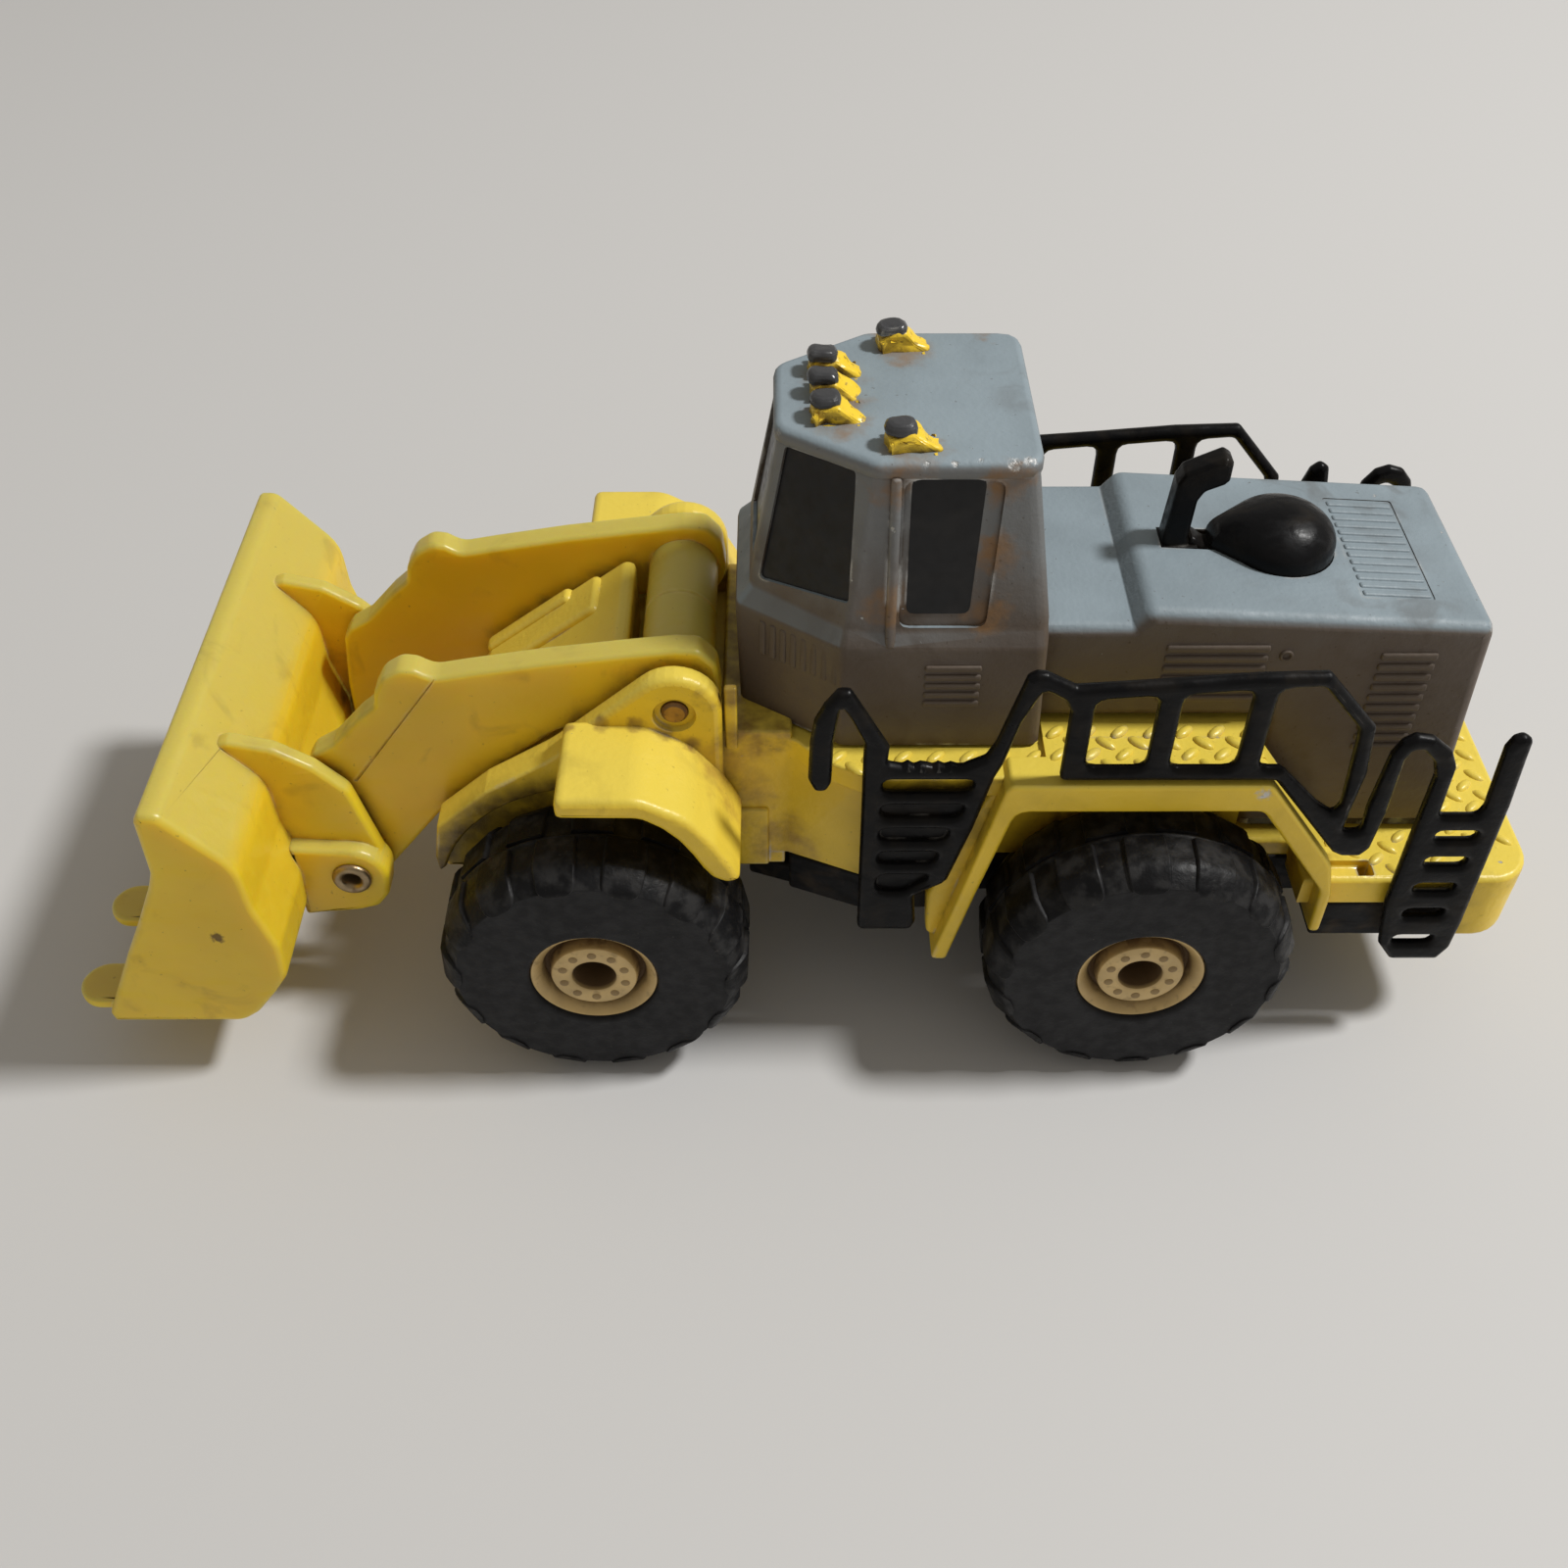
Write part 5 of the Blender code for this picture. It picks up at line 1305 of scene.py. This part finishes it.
class LOADER_OT_railings(Operator):
    """Build the black railings with their ladders"""
    bl_idname = "loader.railings"
    bl_label = "Railings"

    def execute(self, context):
        low = RAIL_FOOT_Z + 1.4
        slot = 1.7
        holes = []
        for left, right, top in zip(RAIL_POSTS, RAIL_POSTS[1:], (43.2, 43.8)):
            left += RAIL_BAR / 2
            right -= RAIL_BAR / 2
            holes.append([(left, low), (right, low), (right, top + 0.5), (left, top)])
        start = RAIL_POSTS[2] + RAIL_BAR / 2
        holes.append([(start, low), (9.6, low), (13.6, 31.2), (15.2, 30.0), (15.6, 31.0), (15.1, 38.6),
                      (14.9, 40.0), (10.9, 44.7), (start, 44.4)])
        for top, right in ((34.2, -16.3), (31.2, -16.9), (28.2, -18.0), (25.2, -18.8)):
            holes.append([(-24.2, top - slot), (right - 0.4, top - slot), (right, top), (-24.2, top)])
        holes.append([(-24.2, 19.8), (-21.8, 19.8), (-19.8, 21.3), (-19.6, 22.2), (-24.2, 22.2)])
        for top in (27.8, 24.4, 20.9, 17.4, 13.6):
            holes.append(rect(24.9, 28.6, top - 1.3, top))
        holes = [soften(at(WHEELBASE, hole), 1.0) for hole in holes]
        chance = random.Random(7)
        chewed = [(-23.2 + 0.52 * n, 35.9 + chance.uniform(-0.25, 0.35), 0.1) for n in range(12)]
        backing = soften(at(WHEELBASE, LADDER_BACK), 0.4)
        rounding = context.scene.loader_sizes.rail_round / MM
        for name, s in SIDES.items():
            loop = RAIL_HANDLE + chewed + RAIL_TOP + REAR_LADDERS[name] + RAIL_RETURN
            outline = soften(at(WHEELBASE, loop), 0.6)
            hoop = [soften(at(WHEELBASE, FAR_HOOP), 0.75)] if name == "right" else []
            rail = plate(outline, s * RAIL_IN, s * RAIL_OUT, rounding, holes + hoop)
            shapes = [rail, plate(backing, s * RAIL_IN, s * (RAIL_IN + 0.55))]
            dressed(f"{name}_railing", fused(shapes), finish_for("black"), "chassis", "black_plastic",
                    f"railing_{name}")
        return {"FINISHED"}


class LOADER_OT_base(Operator):
    """Build the black base plate and its screws"""
    bl_idname = "loader.base"
    bl_label = "Base plate"

    def execute(self, context):
        screws = {"front": 6.5, "rear": 71.0}
        rim = both([(17.9, 12.0), (24.6, 14.7), (33.0, 14.7), (33.0, FRAME_HALF), (68.5, FRAME_HALF)])
        belly = both([(14.0, 8.5), (18.4, 10.1), (25.0, 12.8), (31.1, 12.8), (31.1, 10.5), (68.5, 10.5)])
        shapes = [
            block((-12.4, 16.0), (-6.8, 6.8), (BASE_Z, 16.4), 0.4),
            slab(soften(belly, 0.5), BASE_Z, 14.0, 0.35), slab(soften(rim, 0.4), 13.1, 17.9, 0.35),
            block((67.6, 79.8), (-16.7, 16.7), (BASE_Z, 16.1), 0.4),
        ]
        sink = [(0, BASE_Z - 1), (2.0, BASE_Z - 1), (1.95, BASE_Z + 0.9), (0, BASE_Z + 0.9)]
        body = fused(shapes, [turned(sink, (x, 0, 0), 0, 40) for x in screws.values()])
        dressed("base_tray", body, finish_for("base"), "chassis", "base_black", "base_plate")
        head = BASE_Z + 0.15
        profile = [
            (0, head + 0.12), (1.3, head), (1.7, head + 0.12), (1.8, head + 0.3), (1.8, head + 0.7),
            (0.75, head + 0.7), (0.75, head + 3.0), (0, head + 3.2),
        ]
        cross = ((1.15, 0.22), (0.22, 1.15))
        for name, x in screws.items():
            screw = turned(profile, (x, 0, 0), 0, 40)
            slots = [block((x - a, x + a), (-b, b), (head - 1, head + 0.45)) for a, b in cross]
            dressed(f"{name}_base_screw", fused([screw], slots), finish_for("steel"), "chassis", "steel",
                    f"base_screw_{name}")
        return {"FINISHED"}


class LOADER_OT_lift_arm(Operator):
    """Build the yellow plastic lift arm: two plates and the tube between them"""
    bl_idname = "loader.lift_arm"
    bl_label = "Lift arm"

    def execute(self, context):
        r = context.scene.loader_sizes.plastic_round / MM
        outline = soften([
            *arc(ARM_PIVOT, 4.0, -128, 10, 18), (11.6, 39.8, 1.6), (10.1, 41.5, 1.3), (8.0, 41.6, 2),
            (3.8, 41.1, 3), (-3.1, 40.2), (-10.1, 39.0, 2), (-13.2, 38.4, 2), (-14.6, 39.3, 1.2),
            (-15.9, 39.5, 1.5), (-17.6, 38.4, 2), (-18.6, 36.6, 2), (-18.8, 35.2, 1),
            (-20.5, 33.7, 1.5), (-23.3, 30.6, 1.5), (-25.4, 29.3, 1.5), (-26.2, 28.0, 1.5), (-26.9, 22.0),
            *arc(BUCKET_PIVOT, 3.7, 180, 318, 14), (-14.9, 21.8, 3), (-9.6, 26.9, 3), (-2.8, 32.4, 3),
        ], 0.5)
        end = ARM_IN + 0.4
        tube = [(0, -end), (3.3, -end), (3.3, -0.2), (3.12, 0), (3.3, 0.2), (3.3, end), (0, end)]
        groove = [(-12.5, 38.95), (-12.75, 38.8), (-22.2, 26.1), (-21.95, 26.0)]
        shapes = [turned(tube, (ARM_PIVOT[0], 0, ARM_PIVOT[1]), 1, 56)]
        cuts = []
        for s in SIDES.values():
            shapes.append(plate(outline, s * ARM_IN, s * ARM_OUT, r))
            cuts += [
                plate(groove, s * (ARM_OUT - 0.15), s * (ARM_OUT + 1)),
                drill(RIVET_BORE, ARM_IN - 1, ARM_OUT + 1, *BUCKET_PIVOT, s),
                drill(PIN_BORE, ARM_IN - 1, ARM_OUT + 1, *ARM_PIVOT, s),
            ]
        dressed("arm_moulding", fused(shapes, cuts), finish_for("plastic"), "lift_arm", "yellow_plastic",
                "lift_arm")
        return {"FINISHED"}


class LOADER_OT_bucket(Operator):
    """Build the yellow plastic bucket with its ribs, bosses and teeth"""
    bl_idname = "loader.bucket"
    bl_label = "Bucket"

    def execute(self, context):
        r = context.scene.loader_sizes.plastic_round / MM
        skin = soften([
            (-36.3, 34.9, 0.6), (-34.7, 34.9, 2.5), (-29.4, 28.4, 5), (-29.2, 23.0, 4), (-28.0, 17.8, 3),
            (-28.3, 13.5, 3), (-29.8, 11.2, 3), (-32.0, 8.2, 3), (-33.7, BUCKET_Z, 2), (-46.0, BUCKET_Z),
            (-46.2, 8.0), (-42.3, 16.3), (-39.9, 21.1, 2), (-37.8, 25.6, 2), (-37.1, 27.6, 2), (-36.9, 31.9),
            (-36.8, 34.0),
        ], 0.5)
        hollow = soften([
            (-60.0, 33.3), (-35.3, 33.3, 0.8), (-31.0, 27.8, 1.0), (-30.8, 22.8, 2), (-29.6, 17.6, 1.5),
            (-29.9, 14.0, 2), (-31.2, 12.0, 2), (-33.2, 9.4, 1.5), (-34.5, 8.4, 1.5), (-60.0, 8.4),
        ], 0.4)
        inside = BUCKET_HALF - 1.5
        shapes = [fused([plate(skin, -BUCKET_HALF, BUCKET_HALF, 0.7)], [plate(hollow, -inside, inside)])]
        cuts = []
        for s in SIDES.values():
            shapes += [
                plate(soften([
                    (-33.2, 32.5), (-31.9, 32.9, 0.6), (-28.1, 31.9, 1.5), (-24.9, 29.7, 2), (-22.3, 26.7, 2),
                    (-20.3, 17.5, 2), (-24.0, 13.8, 2), (-29.0, 12.8), (-28.9, 17.8), (-30.0, 23.0),
                    (-30.2, 28.2),
                ], 0.4), s * RIB_IN, s * (RIB_IN + 1.7), r),
                plate(soften([
                    (-28.8, 20.7, 0.3), *arc(BUCKET_PIVOT, 3.4, 90, -10, 14), (-20.4, 14.2, 1),
                    (-21.6, 12.6, 1), (-23.4, 12.0, 1), (-28.9, 11.4, 0.3),
                ], 0.3), s * (RIB_IN + 0.02), s * BOSS_OUT, 0.6),
            ]
            cuts.append(drill(RIVET_BORE, ARM_OUT, 15, *BUCKET_PIVOT, s))
        tooth = 2.35
        for n in range(-2, 3):
            y = 10.0 * n
            tip = arc((-47.25, y), tooth, 90, 270, 19)
            shapes.append(slab(soften(tip + [(-44.6, y - tooth), (-44.6, y + tooth)], 0.1), 7.6, 8.9, 0.4))
        dressed("bucket_moulding", fused(shapes, cuts), finish_for("plastic"), "bucket", "yellow_plastic",
                "bucket")
        return {"FINISHED"}


class LOADER_OT_pins(Operator):
    """Build the arm's pivot pin, the bucket's eyelet rivets and the axles"""
    bl_idname = "loader.pins"
    bl_label = "Pins, rivets and axles"

    def execute(self, context):
        pin = rod(PIN_R, EAR_OUT - 0.15, 0.25, *ARM_PIVOT, 40)
        dressed("pivot_pin", pin, finish_for("rust"), "chassis", "steel", "arm_pin")
        outer = BOSS_OUT + 0.06
        inner = ARM_IN - 0.1
        eyelet = [
            (0, inner - 0.5), (1.6, inner - 0.5), (1.75, inner - 0.3), (1.75, inner), (1.3, inner),
            (1.3, outer), (1.85, outer), (1.85, outer + 0.2), (1.7, outer + 0.4), (1.4, outer + 0.5),
            (1.05, outer + 0.42), (0.85, outer + 0.2), (0.75, outer - 0.3), (0.75, outer - 2.5),
            (0, outer - 2.5),
        ]
        for name, s in SIDES.items():
            dressed(f"{name}_eyelet", turned(eyelet, (BUCKET_PIVOT[0], 0, BUCKET_PIVOT[1]), s, 48),
                    finish_for("rivet"), "bucket", "rivet_metal", f"bucket_rivet_{name}")
        for end, x in zip(ENDS, (0, WHEELBASE)):
            axle = rod(1.0, span(f"axle_{end}", 1)[1], 0.2, x, AXLE_Z, 32)
            dressed(f"{end}_axle_rod", axle, finish_for("steel"), f"{end}_wheels", "steel", f"axle_{end}")
        return {"FINISHED"}


# Wheels: steps round a turned tyre and hub, a tyre's flat wall, the ring of bolts, how far each pair rolled
TYRE_STEPS = 132
HUB_STEPS = 72
WALL_R = 12.4
BOLT_RING = 2.95
WHEEL_ROLLS = (math.radians(-10.6), math.radians(-5.0))


def lug_mesh(high, count):
    """One tread lug at the top of a tyre lying along Y, with its outer end rounded over the shoulder."""
    half = TYRE_OUT - TYRE_MIDDLE
    # Distance from the tyre's middle, drop from the tread, share of a lug's room, lean in degrees
    stations = [
        (0.35, 0, 0.58, 0), (1.9, 0, 0.6, 0), (half - 2.4, 0.06, 0.61, 10), (half - 1.8, 0.3, 0.61, 28),
        (half - 1.15, 0.74, 0.61, 36), (half - 0.6, 1.16, 0.6, 40), (half - 0.3, 1.45, 0.58, 50),
        (half - 0.15, 1.72, 0.54, 68), (half - 0.1, 1.97, 0.44, 85), (half - 0.12, 2.2, 0.25, 90),
    ]
    foot = -high - 0.25
    across = ((-1.1, foot), (-1.0, -0.12), (-0.89, 0.0), (0.89, 0.0), (1.0, -0.12), (1.1, foot))
    points = []
    worn = []
    for y, drop, width, lean in stations:
        for share, lift in across:
            turn = share * width * math.pi / count
            out = TYRE_R - drop + lift * math.cos(math.radians(lean))
            aside = TYRE_MIDDLE + y + lift * math.sin(math.radians(lean))
            points.append((out * math.sin(turn) * MM, aside * MM, out * math.cos(turn) * MM))
            worn.append(1.0 if lift > -0.1 else 0.6)
    return noted(skinned("lug", points, len(across)), "worn", worn)


def tyre_profile(high):
    """Outline of a tyre under its lugs: radius and distance from the centre plane."""
    tread = TYRE_R - high
    half = TYRE_OUT - TYRE_MIDDLE
    wall = [
        (HUB_R + 0.02, 1.5), (HUB_R + 0.05, 0.55), (HUB_R + 0.2, 0.36), (HUB_R + 0.5, 0.28), (WALL_R, 0.28),
        (12.5, 0.36), (12.66, 0.58), (13.0, 1.05), (13.4, 1.65), (tread - 0.12, 2.2), (tread, 2.9),
        (tread, half - 0.3), (tread + 0.2, half - 0.12),
    ]
    outward = [(radius, TYRE_OUT - depth) for radius, depth in wall]
    return outward + [(radius, TYRE_IN + depth) for radius, depth in reversed(wall)]


def hub_profile(face):
    """Outline of a hub: radius, distance from the centre plane, share of packed dirt."""
    floor = HUB_FACE - 2.2
    return [
        (1.07, TYRE_IN + 0.7, 1), (HUB_R, TYRE_IN + 0.7, 1), (HUB_R, HUB_FACE - 0.55, 0.3),
        (HUB_R - 0.12, HUB_FACE - 0.42, 0), (HUB_R - 0.35, HUB_FACE - 0.5, 0),
        (HUB_R - 1.0, HUB_FACE - 1.2, 0.25), (HUB_R - 1.25, floor + 0.1, 0.95), (4.3, floor, 1),
        (4.1, floor + 0.2, 1), (3.98, face - 0.3, 0.35), (3.85, face - 0.08, 0), (3.6, face, 0),
        (2.3, face, 0), (2.05, face - 0.08, 0.3), (1.95, face - 0.5, 0.95), (1.9, 20.2, 1), (1.07, 20.1, 1),
    ]


class LOADER_OT_wheels(Operator):
    """Build the tyres with their lugs and the hubs with their bolts"""
    bl_idname = "loader.wheels"
    bl_label = "Wheels"

    def execute(self, context):
        sizes = context.scene.loader_sizes
        high = sizes.lug_high / MM
        count = sizes.lug_count
        ring = tree_for(ring_tree)
        tyre_finish = finish_for("rubber")
        hub_finish = finish_for("hub")
        outer = grown(ring, lug_mesh(high, count), Count=count, Material=tyre_finish)
        inner = outer.copy()
        mirror = Matrix.Translation((0, 2 * TYRE_MIDDLE * MM, 0)) @ Matrix.Diagonal((1, -1, 1, 1))
        inner.transform(Matrix.Rotation(math.pi / count, 4, "Y") @ mirror)
        inner.flip_normals()
        profile = tyre_profile(high)
        polish = [0.9 if radius > WALL_R + 0.05 else 0.0 for radius, _ in profile for _ in range(TYRE_STEPS)]

        face = HUB_FACE - 0.5
        dot = [(0, face - 0.3), (0.42, face - 0.3), (0.42, face + 0.02), (0.3, face + 0.1), (0, face + 0.12)]
        bolt = turned(dot, (-FRONT_X, 0, BOLT_RING), 1, 14)
        noted(bolt, "packed", [0.6] * len(bolt.vertices))
        bolts = grown(ring, bolt, Count=sizes.bolt_count, Material=hub_finish)
        hub = hub_profile(face)
        dirt = [share for _, _, share in hub for _ in range(HUB_STEPS)]

        for end, x, roll in zip(ENDS, (0, WHEELBASE), WHEEL_ROLLS):
            axle = place(x, 0, AXLE_Z)
            for name, s in SIDES.items():
                lay = Matrix.Rotation(math.pi, 4, "Z") if s < 0 else Matrix.Identity(4)
                shells = [noted(turned(profile, (x, 0, AXLE_Z), s, TYRE_STEPS, closed=True), "worn", polish)]
                for lugs in (outer, inner):
                    shells.append(lugs.copy())
                    shells[-1].transform(axle @ Matrix.Rotation(roll, 4, "Y") @ lay)
                dressed(f"{end}_{name}_tyre", joined(shells), tyre_finish, f"{end}_wheels", "tyre_rubber",
                        f"tyre_{end}_{name}", crease=50)
                dots = bolts.copy()
                dots.transform(axle @ lay)
                nave = turned([point[:2] for point in hub], (x, 0, AXLE_Z), s, HUB_STEPS, closed=True)
                dressed(f"{end}_{name}_hub", joined([noted(nave, "packed", dirt), dots]), hub_finish,
                        f"{end}_wheels", "hub_plastic", f"hub_{end}_{name}")
        return {"FINISHED"}


# Stage: where the key light and the camera stand, and the camera's turns in radians
FLOOR_REACH = 4.0
KEY_AT = Vector((0.70, 0.03, 1.0)) * 0.96
KEY_SIZE = 0.15
CAMERA_AT = Vector((FRONT_X + 16.847, -115.779, 130.729)) * MM
CAMERA_PITCH = 0.783744
CAMERA_YAW = -0.005213
CAMERA_ROLL = -0.002097
CAMERA_LENS = 36.99


def stage_object(name, data):
    """An object of the stage, put in the scene."""
    obj = bpy.data.objects.new(name, data)
    bpy.context.scene.collection.objects.link(obj)
    return obj


class LOADER_OT_stage(Operator):
    """Set the floor, the soft light and the camera"""
    bl_idname = "loader.stage"
    bl_label = "Stage"

    def execute(self, context):
        scene = context.scene
        stage = scene.loader_stage
        corners = rect(-FLOOR_REACH, FLOOR_REACH, -FLOOR_REACH, FLOOR_REACH)
        floor = bpy.data.meshes.new("floor")
        floor.from_pydata([(x, y, 0) for x, y in corners], [], [(0, 1, 2, 3)])
        matt = bpy.data.materials.new("stage_floor")
        matt.use_nodes = True
        shader = matt.node_tree.nodes["Principled BSDF"]
        shader.inputs["Base Color"].default_value = (*stage.floor, 1)
        shader.inputs["Roughness"].default_value = 0.7
        floor.materials.append(matt)
        floor_obj = stage_object("stage_floor", floor)

        world = bpy.data.worlds.new("stage_world")
        scene.world = world
        world.use_nodes = True
        background = world.node_tree.nodes["Background"]
        background.inputs["Color"].default_value = (1.0, 0.945, 0.86, 1)
        background.inputs["Strength"].default_value = stage.fill

        lamp = bpy.data.lights.new("stage_key", "AREA")
        lamp.shape = "DISK"
        lamp.size = KEY_SIZE
        lamp.energy = stage.key_power
        lamp.color = (1.0, 0.995, 0.98)
        key = stage_object("stage_key", lamp)
        key.location = KEY_AT
        key.rotation_euler = KEY_AT.to_track_quat("Z", "Y").to_euler()

        rise = math.sin(CAMERA_PITCH)
        ahead = math.cos(CAMERA_PITCH)
        down = Matrix(((1, 0, 0), (0, -rise, -ahead), (0, ahead, -rise)))
        tilt = Matrix.Rotation(-CAMERA_ROLL, 3, "Z")
        look = tilt @ down @ Matrix.Rotation(CAMERA_YAW, 3, "Z").transposed()
        lens = bpy.data.cameras.new("stage_camera")
        lens.sensor_width = 36
        lens.lens = CAMERA_LENS
        lens.clip_start = MM
        camera = stage_object("stage_camera", lens)
        camera.matrix_world = Matrix((look[0], -look[1], -look[2])).transposed().to_4x4()
        camera.location = CAMERA_AT
        scene.camera = camera
        scene.view_settings.view_transform = "Standard"
        return {"FINISHED"}


PIECES = (
    LOADER_OT_chassis, LOADER_OT_tread_plate, LOADER_OT_cab, LOADER_OT_louvres, LOADER_OT_windows,
    LOADER_OT_exhaust, LOADER_OT_railings, LOADER_OT_base, LOADER_OT_lift_arm, LOADER_OT_bucket,
    LOADER_OT_pins, LOADER_OT_wheels, LOADER_OT_stage,
)


class LOADER_PT_looks(Panel):
    """Settings and steps of the toy front loader"""
    bl_idname = "LOADER_PT_looks"
    bl_label = "Toy front loader"
    bl_space_type = "VIEW_3D"
    bl_region_type = "UI"
    bl_category = "Loader"

    def draw(self, context):
        for name, kind in GROUPS.items():
            group = getattr(context.scene, name)
            box = self.layout.box()
            box.label(text=name.split("_")[1].title())
            for key in kind.__annotations__:
                box.prop(group, key)
        for piece in PIECES:
            self.layout.operator(piece.bl_idname)


GROUPS = {"loader_sizes": LoaderSizes, "loader_colours": LoaderColours, "loader_stage": LoaderStage}
CLASSES = (*GROUPS.values(), *PIECES, LOADER_PT_looks)


def register():
    for cls in CLASSES:
        bpy.utils.register_class(cls)
    for name, group in GROUPS.items():
        setattr(bpy.types.Scene, name, PointerProperty(type=group))


def unregister():
    for name in GROUPS:
        delattr(bpy.types.Scene, name)
    for cls in reversed(CLASSES):
        bpy.utils.unregister_class(cls)


def main():
    register()
    for piece in PIECES:
        group, step = piece.bl_idname.split(".")
        getattr(getattr(bpy.ops, group), step)()


if __name__ == "__main__":
    main()
